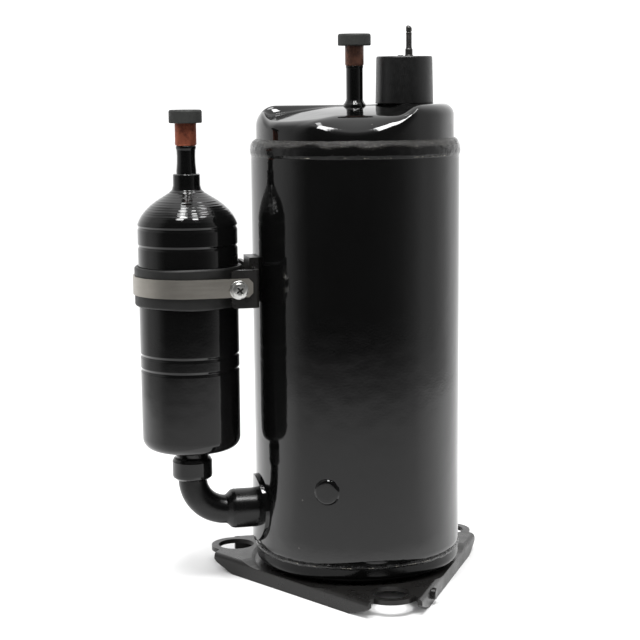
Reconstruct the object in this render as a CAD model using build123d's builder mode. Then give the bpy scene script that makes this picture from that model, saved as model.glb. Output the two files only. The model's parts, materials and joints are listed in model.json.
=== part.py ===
"""Hermetic refrigeration rotary compressor with side accumulator.

Frame: millimetres, Z up along the shell axis. The origin is the centre of the
three foot holes on the underside of the foot plate. The accumulator stands
toward -X, the electric terminal toward +X.
"""

import math
import os

from build123d import *

# ---- housing ---------------------------------------------------------------
SHELL_R, SHELL_IN = 56.0, 53.2
SEAM_LOW, SHELL_TOP = 11.0, 227.0
WALL = 3.0
CAP_TOP, CAP_CORNER = 251.0, 11.0
PAD_TOP, PAD_CORNER = 251.5, 6.0
PANEL_AIM, LIP_AT, LIP_Z, SIDE_FALL = -103.7, 41.5, 246.2, 7.3

# ---- foot plate ------------------------------------------------------------
PLATE_T, PRESS = 2.5, 1.6
FOOT_R, FOOT_HOLE, FOOT_PAD = 72.0, 10.0, 14.0
FLANGE_LOW = -6.5
EARTH_Z = -1.0
SIDES = ((210, -57, 66.5, 56.5), (330, -69, 57, 54.5), (90, -57, 60.5, 53.5))

# ---- suction side ----------------------------------------------------------
ACC_X, ACC_R, ACC_T = -91.6, 26.5, 1.4
SUCTION_Z = 33.3
PIPE_R, PIPE_IN, BEND = 7.8, 6.6, 18.0
SOCKET_S, STUB_S = 4.9, 5.7
STUB_S_TOP = 246.2

# ---- discharge and terminal ------------------------------------------------
SOCKET_D, STUB_D = 4.05, 5.0
STUB_D_TOP = 285.0
TERM_X, STUD_X = 27.6, 30.2
COVER_LOW, COVER_TOP = 251.55, 276.7
PIN_RING = 7.5

# ---- clamp -----------------------------------------------------------------
BAND_IN, BAND_OUT = 28.7, 29.5
BAND_LOW, BAND_TOP = 147.0, 167.9
STRAP_LOW, STRAP_W = 153.2, 9.8
EAR_LOW, EAR_TOP, CLAMP_Z = 147.3, 167.3, 157.2
SCREW_X = -69.5

# ---- pump ------------------------------------------------------------------
CYL_LOW, CYL_TOP, CYL_BORE, CYL_R = 21.3, 45.3, 22.0, 50.0
ECC, ECC_R, ECC_DIR = 5.0, 12.0, 285.0
ROLLER_R = 16.95
MAIN_J, LOW_J, GAP = 8.0, 6.5, 0.03
FLANGE_TOP, RIM_TOP, HUB_TOP = 53.3, 57.3, 80.0
VANE_DIR, VANE_TIP, VANE_BACK, VANE_T = 150.0, 22.06, 40.06, 4.0
BOLT_R, BOLT_ANGLES = 42.0, (210, 270, 330, 30, 90)
PORT_DIR, PORT_RAD, VALVE_Z = 132.0, 20.5, 50.3
PLUG_Z, PLUG_ANGLES = 51.4, (0, 120, 240)

# ---- motor -----------------------------------------------------------------
STACK_LOW, STACK_TOP = 105.0, 165.0
BORE_R, SLOTS = 29.0, 24
ROTOR_R, ROTOR_LOW, ROTOR_TOP, BARS = 28.5, 107.0, 163.0, 28
SHAFT_TOP = 182.0


def polar(radius, degrees):
    a = math.radians(degrees)
    return radius * math.cos(a), radius * math.sin(a)


def radial_plane(degrees, z=0.0):
    """Horizontal plane whose local x points outward at the given angle."""
    return Plane(origin=(0, 0, z), x_dir=(*polar(1, degrees), 0), z_dir=(0, 0, 1))


def cross_plane(degrees, radius, z):
    """Upright plane facing outward: local x runs round, local y runs up."""
    out = polar(1, degrees)
    return Plane(origin=(*polar(radius, degrees), z), x_dir=(-out[1], out[0], 0),
                 z_dir=(*out, 0))


def turn(points, at=(0, 0), mode=Mode.ADD):
    """Revolve an (r, z) outline about an upright axis through `at`."""
    upright = Plane(origin=(*at, 0), x_dir=(1, 0, 0), z_dir=(0, -1, 0))
    with BuildSketch(upright) as outline:
        with BuildLine():
            Polyline(*points, close=True)
        make_face()
    revolve(outline.sketch, axis=Axis((*at, 0), (0, 0, 1)), mode=mode)


def tube(r_out, r_in, low, high, at=(0, 0), mode=Mode.ADD):
    turn([(r_in, low), (r_out, low), (r_out, high), (r_in, high)], at, mode)


def rod(radius, low, high, at=(0, 0), mode=Mode.ADD):
    with BuildSketch(Plane.XY.offset(low)) as disc:
        with Locations(at):
            Circle(radius)
    extrude(disc.sketch, amount=high - low, mode=mode)


def drill(degrees, radius, start, end, z, mode=Mode.SUBTRACT):
    """Radial round hole or pin between two distances from the axis."""
    with BuildSketch(cross_plane(degrees, start, z)) as disc:
        Circle(radius)
    extrude(disc.sketch, amount=end - start, mode=mode)


def arc_points(cx, cz, radius, first, last, count=7):
    step = (last - first) / (count - 1)
    return [(cx + radius * math.cos(math.radians(first + i * step)),
             cz + radius * math.sin(math.radians(first + i * step)))
            for i in range(count)]


def side_point(degrees, out, along):
    c, s = polar(1, degrees)
    return out * c - along * s, out * s + along * c


def save(part, name):
    part.part.label = name
    export_step(part.part, f"parts/{name}.step")


os.makedirs("parts", exist_ok=True)

# ============================ housing =======================================
with BuildPart() as shell_tube:
    tube(SHELL_R, SHELL_IN, SEAM_LOW, SHELL_TOP)
    drill(180, 10.75, 50, 60, SUCTION_Z)
    for angle in PLUG_ANGLES:
        drill(angle, 5.5, 50, 60, PLUG_Z)
save(shell_tube, "shell_tube")

with BuildPart() as bottom_cap:
    outer = arc_points(48, 10.5, 8, 0, -90)
    inner = arc_points(47.2, 11, 5, -90, 0)
    turn([(50.4, 17), (SHELL_IN, 17), (SHELL_IN, SEAM_LOW), (SHELL_R, SEAM_LOW)]
         + outer + [(43.5, 2.5), (40, 0), (20, -2.4), (0, -3), (0, 0), (20, 0.6),
                    (38.5, 2.8), (42.5, 6)] + inner[1:-1] + [(50.4, SEAM_LOW)])
save(bottom_cap, "bottom_cap")

with BuildPart() as bottom_weld:
    turn([(SHELL_R, 9.9), (56.35, 10.4), (56.45, 11), (56.35, 11.6), (SHELL_R, 12.1)])
save(bottom_weld, "bottom_weld")

with BuildPart() as top_weld:
    turn([(SHELL_IN, SHELL_TOP), (SHELL_R, SHELL_TOP), (SHELL_R, 225), (56.35, 225.8),
          (56.6, 227.6), (56.4, 229.6), (55.6, 231.6), (54.4, 233.1), (SHELL_IN, 234)])
save(top_weld, "top_weld")


def cap_form(inset):
    """Solid shape of the pressed top cap, shrunk inward by `inset`."""
    r, top, corner = SHELL_IN - inset, CAP_TOP - inset, CAP_CORNER - inset
    outline = [(0, 215), (r, 215)] + arc_points(r - corner, top - corner, corner, 0, 90, 9)
    dome = revolve(Plane.XZ * make_face(Polyline(*outline, (0, top), close=True)),
                   axis=Axis.Z)
    aim = polar(1, PANEL_AIM)
    side = Plane(origin=(0, 0, 0), x_dir=(*aim, 0), z_dir=(aim[1], -aim[0], 0))
    wall = 4.0 - inset * 1.1
    panel = make_face(side * Polyline((wall - 5.5, 262 - inset), (wall, 251.53 - inset), (LIP_AT, LIP_Z - inset),
                                      (62, LIP_Z - inset - 0.72 * (62 - LIP_AT)), (62, 262 - inset), close=True))
    press = extrude(panel, amount=70, both=True)
    right = (-aim[1], aim[0])
    hinge = Axis((-10 * right[0], -10 * right[1], 251.8 - inset), (*aim, 0))
    press = press + press.rotate(hinge, SIDE_FALL)
    pad_plan = Circle(r) & Pos(35, -8) * Rectangle(46 - 2 * inset, 82 - 2 * inset)
    pad = extrude(Pos(0, 0, 226) * pad_plan, amount=PAD_TOP - inset - 226)
    pad = fillet(pad.faces().sort_by(Axis.Z)[-1].edges(), PAD_CORNER - inset)
    return dome - press + pad


cap_outer, cap_inner = cap_form(0.0), cap_form(WALL)
skirt_room = extrude(Pos(0, 0, 214) * Circle(SHELL_IN - WALL), amount=12.5)

with BuildPart() as top_cap:
    add(cap_outer)
    add(cap_inner, mode=Mode.SUBTRACT)
    add(skirt_room, mode=Mode.SUBTRACT)
    rod(4.5, 230, 260, mode=Mode.SUBTRACT)
    rod(14.6, 240, 260, (TERM_X, 0), mode=Mode.SUBTRACT)
save(top_cap, "top_cap")

with BuildPart() as plug_welds:
    for angle in PLUG_ANGLES:
        drill(angle, 7.2, 54, 56.9, PLUG_Z, Mode.ADD)
    rod(SHELL_R, 30, 70, mode=Mode.SUBTRACT)
    for angle in PLUG_ANGLES:
        drill(angle, 5.5, SHELL_IN, 56.5, PLUG_Z, Mode.ADD)
save(plug_welds, "plug_welds")

# ============================ foot plate ====================================
def side_end(flange, end):
    """Plan of one end of a flanged side, as (distance out, distance along) from the middle."""
    sense = math.copysign(1, end)
    if abs(end) > 60:
        # relief notch between the end of the flange and the round foot pad
        return [(20, end - 4 * sense), (48.9, end - 2.2 * sense), (flange - 4.4, end - 3.4 * sense),
                (flange - PLATE_T, end - 2.0 * sense), (flange - PLATE_T, end), (flange, end)]
    return [(20, end + 3 * sense), (49, end + 4 * sense), (flange, end)]


with BuildPart() as foot_plate:
    with BuildSketch() as plan:
        with PolarLocations(FOOT_R, 3, start_angle=-90):
            Circle(FOOT_PAD)
        make_hull()
        for side, first, last, flange in SIDES:
            Polygon(*[side_point(side, out, along) for out, along in
                      side_end(flange, first) + side_end(flange, last)[::-1]], align=None)
    extrude(plan.sketch, amount=PLATE_T)
    for side, first, last, flange in SIDES:
        out = polar(1, side)
        face = Plane(origin=(*side_point(side, flange, 0), 0),
                     x_dir=(-out[1], out[0], 0), z_dir=(*out, 0))
        tail = [(last - 1.5, FLANGE_LOW), (last, -5.0)] if side == 90 else \
            [(last - 15, FLANGE_LOW), (last - 2, -2.3), (last, -0.9)]
        with BuildSketch(face) as skirt:
            Polygon((first, PLATE_T), (first, -0.9), (first + 2, -2.3), (first + 15, FLANGE_LOW),
                    *tail, (last, PLATE_T), align=None)
        extrude(skirt.sketch, amount=-PLATE_T)
        bend = [e for e in edges().filter_by(GeomType.LINE)
                if abs(e.center().Z - PLATE_T) < 0.01
                and abs(e.center().X * out[0] + e.center().Y * out[1] - flange) < 0.01]
        fillet(bend, 2.4)
    with BuildSketch(Plane.XY.offset(PLATE_T - PRESS)) as floor:
        Circle(57.0)
    extrude(floor.sketch, amount=PRESS + 0.01, taper=-52, mode=Mode.SUBTRACT)
    for side, first, last, flange in SIDES:
        out = polar(1, side)
        dip = Plane(origin=(*side_point(side, 20, 0), 0), x_dir=(-out[1], out[0], 0), z_dir=(*out, 0))
        with BuildSketch(dip) as hollow:
            Polygon((-36, PLATE_T + 0.01), (-32.5, PLATE_T - 0.35), (-26.5, PLATE_T - PRESS + 0.35),
                    (-22, PLATE_T - PRESS), (22, PLATE_T - PRESS), (26.5, PLATE_T - PRESS + 0.35),
                    (32.5, PLATE_T - 0.35), (36, PLATE_T + 0.01), align=None)
        extrude(hollow.sketch, amount=45, mode=Mode.SUBTRACT)
    with BuildSketch(Plane.XY.offset(PLATE_T - PRESS)) as web:
        Circle(57.0)
        for side, first, last, flange in SIDES:
            Polygon(*[side_point(side, out, along) for out, along in
                      ((20, -30), (50, -30), (50, 30), (20, 30))], align=None)
        for side, first, last, flange in SIDES:
            Polygon(*[side_point(side, out, along) for out, along in
                      ((flange - 2.4, -70), (80, -70), (80, 70), (flange - 2.4, 70))],
                    align=None, mode=Mode.SUBTRACT)
    extrude(web.sketch, amount=-PLATE_T)
    rod(43.6, -5, 4, mode=Mode.SUBTRACT)
    with BuildSketch(Plane.XY.offset(-1)) as holes:
        with PolarLocations(FOOT_R, 3, start_angle=-90):
            Circle(FOOT_HOLE)
    extrude(holes.sketch, amount=5, mode=Mode.SUBTRACT)
    earth_at = side_point(330, SIDES[1][3], -47.5)
    with BuildSketch(Plane(origin=(*earth_at, EARTH_Z), x_dir=(0, 0, 1),
                           z_dir=(*polar(1, 330), 0))) as earth_hole:
        Circle(2.5)
    extrude(earth_hole.sketch, amount=-PLATE_T, mode=Mode.SUBTRACT)
save(foot_plate, "foot_plate")

with BuildPart() as earth_stud:
    head = Plane(origin=(*earth_at, EARTH_Z), x_dir=(0, 0, 1), z_dir=(*polar(1, 330), 0))
    with BuildSketch(head) as disc:
        Circle(3.0)
    extrude(disc.sketch, amount=2.3)
    fillet(faces().sort_by(Axis(origin=(0, 0, 0), direction=(*polar(1, 330), 0)))[-1].edges(), 0.6)
    with BuildSketch(head) as shank:
        Circle(2.45)
    extrude(shank.sketch, amount=-PLATE_T)
save(earth_stud, "earth_stud")

# ============================ suction line ==================================
with BuildPart() as suction_collar:
    drill(180, 18.4, 40, 64, SUCTION_Z, Mode.ADD)
    with BuildSketch() as band:
        Circle(58.0)
        Circle(SHELL_R, mode=Mode.SUBTRACT)
    extrude(band.sketch, amount=70, mode=Mode.INTERSECT)
    drill(180, 10.75, 40, 64, SUCTION_Z)
save(suction_collar, "suction_collar")

with BuildPart() as suction_sleeve:
    with BuildSketch(Plane.XZ) as wall:
        with BuildLine():
            Polyline((-73.5, SUCTION_Z + 7.82), (-73.5, SUCTION_Z + 8.3),
                     (-70.8, SUCTION_Z + 10.75), (-51.0, SUCTION_Z + 10.75),
                     (-51.0, SUCTION_Z + 7.82), close=True)
        make_face()
    revolve(wall.sketch, axis=Axis((0, 0, SUCTION_Z), (1, 0, 0)))
save(suction_sleeve, "suction_sleeve")

with BuildPart() as suction_liner:
    drill(180, 7.8, 43.5, 61.9, SUCTION_Z, Mode.ADD)
    drill(180, 6.6, 40, 64, SUCTION_Z)
save(suction_liner, "suction_liner")

elbow_mid = (ACC_X + BEND * (1 - math.cos(math.radians(45))), 0,
             SUCTION_Z + BEND * (1 - math.sin(math.radians(45))))
with BuildPart() as suction_elbow:
    with BuildLine() as run:
        Line((ACC_X, 0, 66.5), (ACC_X, 0, SUCTION_Z + BEND))
        ThreePointArc((ACC_X, 0, SUCTION_Z + BEND), elbow_mid,
                      (ACC_X + BEND, 0, SUCTION_Z))
        Line((ACC_X + BEND, 0, SUCTION_Z), (-62.0, 0, SUCTION_Z))
    with BuildSketch(Plane.XY.offset(66.5)) as ring:
        with Locations((ACC_X, 0)):
            Circle(PIPE_R)
            Circle(PIPE_IN, mode=Mode.SUBTRACT)
    sweep(ring.sketch, path=run.line)
save(suction_elbow, "suction_elbow")

with BuildPart() as outlet_ferrule:
    turn([(PIPE_R, 51.5), (8.8, 51.5), (10.6, 52.7), (10.9, 53.6), (10.9, 62.0),
          (10.0, 63.2), (8.8, 63.6), (8.8, 65.6), (PIPE_R, 65.6)], (ACC_X, 0))
save(outlet_ferrule, "outlet_ferrule")

grooves = []
for z in (112.7, 120.3, 178.4, 188.4):
    grooves += [(ACC_R, z - 1.0), (ACC_R - 0.6, z), (ACC_R, z + 1.0)]
with BuildPart() as accumulator_shell:
    low = arc_points(ACC_R - 10.5, 78.0, 10.5, -68, 0, 6)
    top = [(26.35, 190.2), (25.7, 192.0), (24.4, 194.4), (22.3, 197.0), (19.4, 199.8),
           (16.2, 202.2), (12.6, 204.4), (9.4, 206.4), (7.8, 207.9), (7.15, 209.8), (7.15, 216.3)]
    turn([(PIPE_R, 65.6), (10.5, 65.8)] + low + grooves + top
         + [(5.05, 216.3), (5.05, 209.0), (8.3, 204.9), (12.0, 202.6), (15.3, 200.5),
            (18.4, 198.1), (21.0, 195.5), (23.0, 192.9), (24.4, 190.0), (ACC_R - ACC_T, 186)]
         + [(ACC_R - ACC_T, 79.0), (24.2, 75.0), (21.6, 71.4), (18.0, 69.2),
            (10.5, 67.2), (PIPE_R, 67.0)], (ACC_X, 0))
save(accumulator_shell, "accumulator_shell")

with BuildPart() as accumulator_inlet:
    turn([(4.25, 192), (5.05, 192), (5.05, 228.5), (5.35, 229.6), (5.35, 231.0),
          (5.2, 231.0), (5.2, 232.8), (4.25, 232.8)], (ACC_X, 0))
save(accumulator_inlet, "accumulator_inlet")

with BuildPart() as suction_stub:
    turn([(5.2, 231.0), (5.5, 231.0), (STUB_S, 232.0), (STUB_S, STUB_S_TOP),
          (SOCKET_S, STUB_S_TOP), (SOCKET_S, 233.0), (5.2, 232.8)], (ACC_X, 0))
save(suction_stub, "suction_stub")

with BuildPart() as suction_cap:
    turn([(STUB_S + 0.05, 242.8), (8.55, 242.8), (8.75, 243.2), (8.75, 249.3),
          (8.4, 249.7), (0, 249.7), (0, 246.4), (STUB_S + 0.05, 246.4)], (ACC_X, 0))
save(suction_cap, "suction_cap")

with BuildPart() as accumulator_screen:
    tube(25.1, 21.5, 176.5, 180.0, (ACC_X, 0))
    tube(21.5, 0.01, 179.2, 180.0, (ACC_X, 0))
    with BuildSketch(Plane.XY.offset(178)) as mesh:
        with Locations((ACC_X, 0)):
            with HexLocations(2.3, 7, 7):
                Circle(1.2)
    extrude(mesh.sketch, amount=3, mode=Mode.SUBTRACT)
save(accumulator_screen, "accumulator_screen")

with BuildPart() as accumulator_baffle:
    turn([(0, 170.8), (14, 169.4), (14, 167), (25.1, 167), (25.1, 168.5), (15.2, 168.5),
          (15.2, 170.6), (0, 172.2)], (ACC_X, 0))
    with BuildSketch(Plane.XY.offset(165)) as drains:
        with Locations((ACC_X, 0)):
            with PolarLocations(20, 6):
                Circle(3.2)
    extrude(drains.sketch, amount=6, mode=Mode.SUBTRACT)
save(accumulator_baffle, "accumulator_baffle")

with BuildPart() as standpipe:
    tube(PIPE_IN, 5.5, 56, 158, (ACC_X, 0))
    with BuildSketch(Plane.YZ.offset(ACC_X)) as bleed:
        with Locations((0, 76)):
            Circle(0.8)
    extrude(bleed.sketch, amount=10, mode=Mode.SUBTRACT)
save(standpipe, "standpipe")

# ============================ accumulator clamp =============================
with BuildPart() as rubber_band:
    tube(BAND_IN, ACC_R, BAND_LOW, BAND_TOP, (ACC_X, 0))
save(rubber_band, "rubber_band")

with BuildPart() as holder_bracket:
    with BuildSketch(Plane.XY.offset(EAR_LOW)) as channel:
        with Locations((-58.2, 0)):
            Rectangle(15, 57.4, align=(Align.MAX, Align.CENTER))
        fillet([v for v in channel.vertices() if v.X > -60], 3.2)
        with Locations((-60.2, 0)):
            Rectangle(20, 53.4, align=(Align.MAX, Align.CENTER), mode=Mode.SUBTRACT)
    extrude(channel.sketch, amount=EAR_TOP - EAR_LOW)
    with BuildSketch(Plane.XY.offset(148.6)) as foot:
        with Locations((-60.2, 0)):
            Rectangle(8, 18, align=(Align.MIN, Align.CENTER))
    extrude(foot.sketch, amount=23)
    rod(SHELL_R, 140, 180, mode=Mode.SUBTRACT)
    for front in (1, -1):
        corners = [e for e in edges().filter_by(Axis.Y)
                   if e.center().Y * front < -20 and e.center().X < -70]
        fillet(corners, 2.0)
    with BuildSketch(Plane.XZ.offset(20)) as hole:
        with Locations((SCREW_X, CLAMP_Z)):
            Circle(2.7)
    extrude(hole.sketch, amount=12, mode=Mode.SUBTRACT)
    with BuildSketch(Plane.XZ.offset(-20)) as slot:
        with Locations((-66.6, CLAMP_Z)):
            Rectangle(2.4, 12.6)
    extrude(slot.sketch, amount=-12, mode=Mode.SUBTRACT)
save(holder_bracket, "holder_bracket")

with BuildPart() as clamp_strap:
    with BuildSketch(Plane.XY.offset(STRAP_LOW)) as strip:
        with Locations((ACC_X, 0)):
            Circle(BAND_OUT)
            Circle(BAND_IN, mode=Mode.SUBTRACT)
        with Locations((ACC_X, 0)):
            Rectangle(40, 70, align=(Align.MIN, Align.CENTER), mode=Mode.SUBTRACT)
        with Locations((ACC_X, -BAND_OUT)):
            Rectangle(29.6, BAND_OUT - BAND_IN, align=(Align.MIN, Align.MIN))
        with Locations((ACC_X, BAND_OUT)):
            Rectangle(26.0, BAND_OUT - BAND_IN, align=(Align.MIN, Align.MAX))
        with Locations((ACC_X + 26.0, BAND_OUT)):
            Rectangle(BAND_OUT - BAND_IN, 5.5, align=(Align.MAX, Align.MAX))
    extrude(strip.sketch, amount=STRAP_W)
    ends = [e for e in edges().filter_by(Axis.Y)
            if e.center().Y < -20 and e.center().X > -63]
    chamfer(ends, 2.2)
    with BuildSketch(Plane.XZ.offset(20)) as hole:
        with Locations((SCREW_X, CLAMP_Z)):
            Circle(2.7)
    extrude(hole.sketch, amount=12, mode=Mode.SUBTRACT)
save(clamp_strap, "clamp_strap")

with BuildPart() as clamp_screw:
    seat = Plane.XZ.offset(BAND_OUT)
    with BuildSketch(seat) as washer:
        with Locations((SCREW_X, CLAMP_Z)):
            Circle(4.9)
    extrude(washer.sketch, amount=0.9)
    with BuildSketch(seat.offset(0.9)) as hexagon:
        with Locations((SCREW_X, CLAMP_Z)):
            RegularPolygon(4.0, 6, major_radius=False)
    extrude(hexagon.sketch, amount=2.9)
    with BuildSketch(seat.offset(3.8)) as dome:
        with Locations((SCREW_X, CLAMP_Z)):
            Circle(3.7)
    extrude(dome.sketch, amount=0.5)
    with BuildSketch(seat.offset(2.2)) as cross:
        with Locations((SCREW_X, CLAMP_Z)):
            Rectangle(4.4, 0.9)
            Rectangle(0.9, 4.4)
    extrude(cross.sketch, amount=4, mode=Mode.SUBTRACT)
    with BuildSketch(seat) as shank:
        with Locations((SCREW_X, CLAMP_Z)):
            Circle(2.45)
    extrude(shank.sketch, amount=-7.0)
save(clamp_screw, "clamp_screw")

with BuildPart() as clamp_nut:
    with BuildSketch(Plane.XZ.offset(26.7)) as flats:
        with Locations((SCREW_X, CLAMP_Z)):
            Rectangle(8, 8)
            Circle(2.45, mode=Mode.SUBTRACT)
    extrude(flats.sketch, amount=-3.5)
    chamfer(edges().filter_by(Axis.Y).group_by(SortBy.LENGTH)[-1], 0.6)
save(clamp_nut, "clamp_nut")

# ============================ discharge line ================================
with BuildPart() as discharge_tube:
    turn([(3.6, 236), (4.5, 236), (4.5, 270.6), (4.75, 271.2), (4.75, 271.7),
          (4.3, 271.7), (4.3, 273.0), (3.6, 273.0)])
save(discharge_tube, "discharge_tube")

with BuildPart() as discharge_braze:
    turn([(4.5, 251.0), (6.9, 251.0), (6.3, 251.5), (5.3, 252.2), (4.5, 253.2)])
save(discharge_braze, "discharge_braze")

with BuildPart() as discharge_stub:
    turn([(4.3, 271.7), (4.8, 271.7), (STUB_D, 272.4), (STUB_D, STUB_D_TOP),
          (SOCKET_D, STUB_D_TOP), (SOCKET_D, 273.2), (4.3, 273.0)])
save(discharge_stub, "discharge_stub")

with BuildPart() as discharge_cap:
    turn([(STUB_D + 0.05, 282.4), (8.6, 282.4), (8.8, 282.8), (8.8, 288.3),
          (8.4, 288.7), (0, 288.7), (0, 285.2), (STUB_D + 0.05, 285.2)])
save(discharge_cap, "discharge_cap")

# ============================ electric terminal =============================
pin_spots = [(TERM_X + polar(PIN_RING, a)[0], polar(PIN_RING, a)[1]) for a in (60, 180, 300)]

with BuildPart() as terminal_body:
    turn([(0, 248.0), (14.6, 248.0), (14.6, 250.6), (12.6, 251.2), (0, 251.2)], (TERM_X, 0))
    for spot in pin_spots:
        rod(2.9, 240, 256, spot, Mode.SUBTRACT)
save(terminal_body, "terminal_body")

with BuildPart() as terminal_glass:
    for spot in pin_spots:
        tube(2.9, 1.6, 247.4, 252.4, spot)
save(terminal_glass, "terminal_glass")

with BuildPart() as terminal_pins:
    for spot in pin_spots:
        rod(1.6, 235.5, 262.0, spot)
    for spot in pin_spots:
        with BuildSketch(Plane.XY.offset(255.0)) as blade:
            with Locations(spot):
                Rectangle(0.8, 6.0)
        extrude(blade.sketch, amount=9.0)
save(terminal_pins, "terminal_pins")

with BuildPart() as terminal_gasket:
    rod(12.6, 251.25, 252.2, (TERM_X, 0))
    for spot in pin_spots:
        rod(3.1, 250, 254, spot, Mode.SUBTRACT)
    rod(2.5, 250, 254, (STUD_X, 0), Mode.SUBTRACT)
save(terminal_gasket, "terminal_gasket")

with BuildPart() as terminal_stud:
    turn([(0, 251.2), (2.3, 251.2), (2.3, 277.0), (2.0, 277.4), (2.0, 280.5),
          (1.6, 281.0), (1.6, 289.0), (1.35, 289.3), (1.35, 289.7), (1.6, 290.0),
          (1.6, 291.6), (1.0, 293.0), (0, 293.0)], (STUD_X, 0))
save(terminal_stud, "terminal_stud")

with BuildPart() as terminal_cover:
    turn([(13.6, COVER_LOW), (15.6, COVER_LOW), (15.15, 274.0), (14.75, 275.6),
          (13.9, 276.45), (12.6, COVER_TOP), (0, COVER_TOP), (0, 274.6), (12.6, 274.6),
          (13.3, 273.8)], (TERM_X, 0))
    with BuildSketch(Plane.XY.offset(COVER_TOP - 0.3)) as nub:
        with Locations((TERM_X - 2.6, -2.0)):
            Circle(1.6)
    extrude(nub.sketch, amount=0.9)
    rod(2.35, 270, 280, (STUD_X, 0), Mode.SUBTRACT)
save(terminal_cover, "terminal_cover")

with BuildPart() as lead_connector:
    with BuildSketch(Plane.XY.offset(233.0)) as block:
        with Locations((TERM_X, 0)):
            Circle(12.4)
    extrude(block.sketch, amount=11.0)
    for spot in pin_spots:
        rod(1.65, 234.0, 246, spot, Mode.SUBTRACT)
save(lead_connector, "lead_connector")

with BuildPart() as lead_wires:
    for spot, aim in zip(pin_spots, (35, 0, -35)):
        start = polar(40.5, aim)
        with BuildLine() as route:
            FilletPolyline((*start, 186.0), (*start, 206.0), (*spot, 216.0), (*spot, 233.0),
                           radius=6.0)
        with BuildSketch(Plane.XY.offset(186.0)) as wire:
            with Locations(start):
                Circle(1.3)
        sweep(wire.sketch, path=route.line)
save(lead_wires, "lead_wires")

# ============================ compression unit ==============================
port_at = polar(PORT_RAD, PORT_DIR)
VALVE_DIR = PORT_DIR + 90.0


def valve_plane(z):
    """Plane at the discharge port with local x along the reed."""
    return Plane(origin=(*port_at, z), x_dir=(*polar(1, VALVE_DIR), 0), z_dir=(0, 0, 1))


def bolt_holes(radius, low, high):
    for angle in BOLT_ANGLES:
        rod(radius, low, high, polar(BOLT_R, angle), Mode.SUBTRACT)


with BuildPart() as main_bearing:
    turn([(MAIN_J + GAP, CYL_TOP), (SHELL_IN, CYL_TOP), (SHELL_IN, RIM_TOP),
          (47.5, RIM_TOP), (46.5, FLANGE_TOP), (16, FLANGE_TOP), (15.5, HUB_TOP - 1),
          (14.5, HUB_TOP), (MAIN_J + GAP, HUB_TOP)])
    with BuildSketch(Plane.XY.offset(CYL_TOP - 1)) as returns:
        with PolarLocations(SHELL_IN, 6, start_angle=30):
            Circle(4.6)
    extrude(returns.sketch, amount=20, mode=Mode.SUBTRACT)
    bolt_holes(2.6, CYL_TOP - 1, RIM_TOP)
    with BuildSketch(valve_plane(VALVE_Z)) as recess:
        with Locations((11.7, 0)):
            SlotOverall(35.4, 9.2)
    extrude(recess.sketch, amount=4, mode=Mode.SUBTRACT)
    rod(3.1, CYL_TOP - 1, VALVE_Z + 1, port_at, Mode.SUBTRACT)
    with BuildSketch(valve_plane(CYL_TOP - 1)) as rivet_hole:
        with Locations((23.6, 0)):
            Circle(1.5)
    extrude(rivet_hole.sketch, amount=8, mode=Mode.SUBTRACT)
save(main_bearing, "main_bearing")

with BuildPart() as cylinder_block:
    tube(CYL_R, CYL_BORE, CYL_LOW, CYL_TOP)
    with BuildSketch(radial_plane(VANE_DIR, CYL_LOW - 1)) as slot:
        with Locations((20, 0)):
            Rectangle(22.0, VANE_T + 2 * GAP, align=(Align.MIN, Align.CENTER))
        with Locations((42.0, 0)):
            Circle(2.9)
    extrude(slot.sketch, amount=26, mode=Mode.SUBTRACT)
    mid = (CYL_LOW + CYL_TOP) / 2
    drill(VANE_DIR, 3.1, 37.0, 52.0, mid)
    drill(180, 7.8, 43.5, 52.0, SUCTION_Z)
    drill(180, 6.2, 20.0, 44.0, SUCTION_Z)
    rod(3.1, CYL_TOP - 4, CYL_TOP + 1, port_at, Mode.SUBTRACT)
    bolt_holes(2.6, CYL_LOW - 1, CYL_TOP + 1)
save(cylinder_block, "cylinder_block")

with BuildPart() as sub_bearing:
    turn([(LOW_J + GAP, 4.0), (12.0, 4.0), (13.0, 5.0), (13.0, 14.3), (46.0, 14.3),
          (46.0, CYL_LOW), (LOW_J + GAP, CYL_LOW)])
    bolt_holes(2.45, 13, CYL_LOW + 1)
save(sub_bearing, "sub_bearing")

with BuildPart() as muffler_cover:
    turn([(36.5, FLANGE_TOP), (46.0, FLANGE_TOP), (46.0, 54.6), (37.6, 54.6), (36.0, 57.0),
          (35.4, 63.0), (33.0, 65.6), (29.0, 66.4), (16.4, 66.4), (16.4, 65.1),
          (28.6, 65.1), (32.0, 64.2), (34.2, 62.0), (34.8, 56.4)])
    with BuildSketch(Plane.XY.offset(60)) as outlets:
        with PolarLocations(24, 4, start_angle=20):
            Circle(2.6)
    extrude(outlets.sketch, amount=10, mode=Mode.SUBTRACT)
    bolt_holes(2.6, 50, 58)
save(muffler_cover, "muffler_cover")

with BuildPart() as bearing_bolts:
    for angle in BOLT_ANGLES:
        spot = polar(BOLT_R, angle)
        rod(2.45, 15.0, 54.6, spot)
        rod(4.2, 54.6, 59.4, spot)
        with BuildSketch(Plane.XY.offset(56.6)) as socket:
            with Locations(spot):
                RegularPolygon(2.0, 6, major_radius=False)
        extrude(socket.sketch, amount=4, mode=Mode.SUBTRACT)
save(bearing_bolts, "bearing_bolts")

with BuildPart() as discharge_reed:
    with BuildSketch(valve_plane(VALVE_Z)) as blade:
        Circle(4.1)
        with Locations((19.4, 0)):
            Rectangle(19.4, 5.2, align=(Align.MAX, Align.CENTER))
            Rectangle(5.0, 7.6, align=(Align.MAX, Align.CENTER))
    extrude(blade.sketch, amount=0.3)
save(discharge_reed, "discharge_reed")

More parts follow.
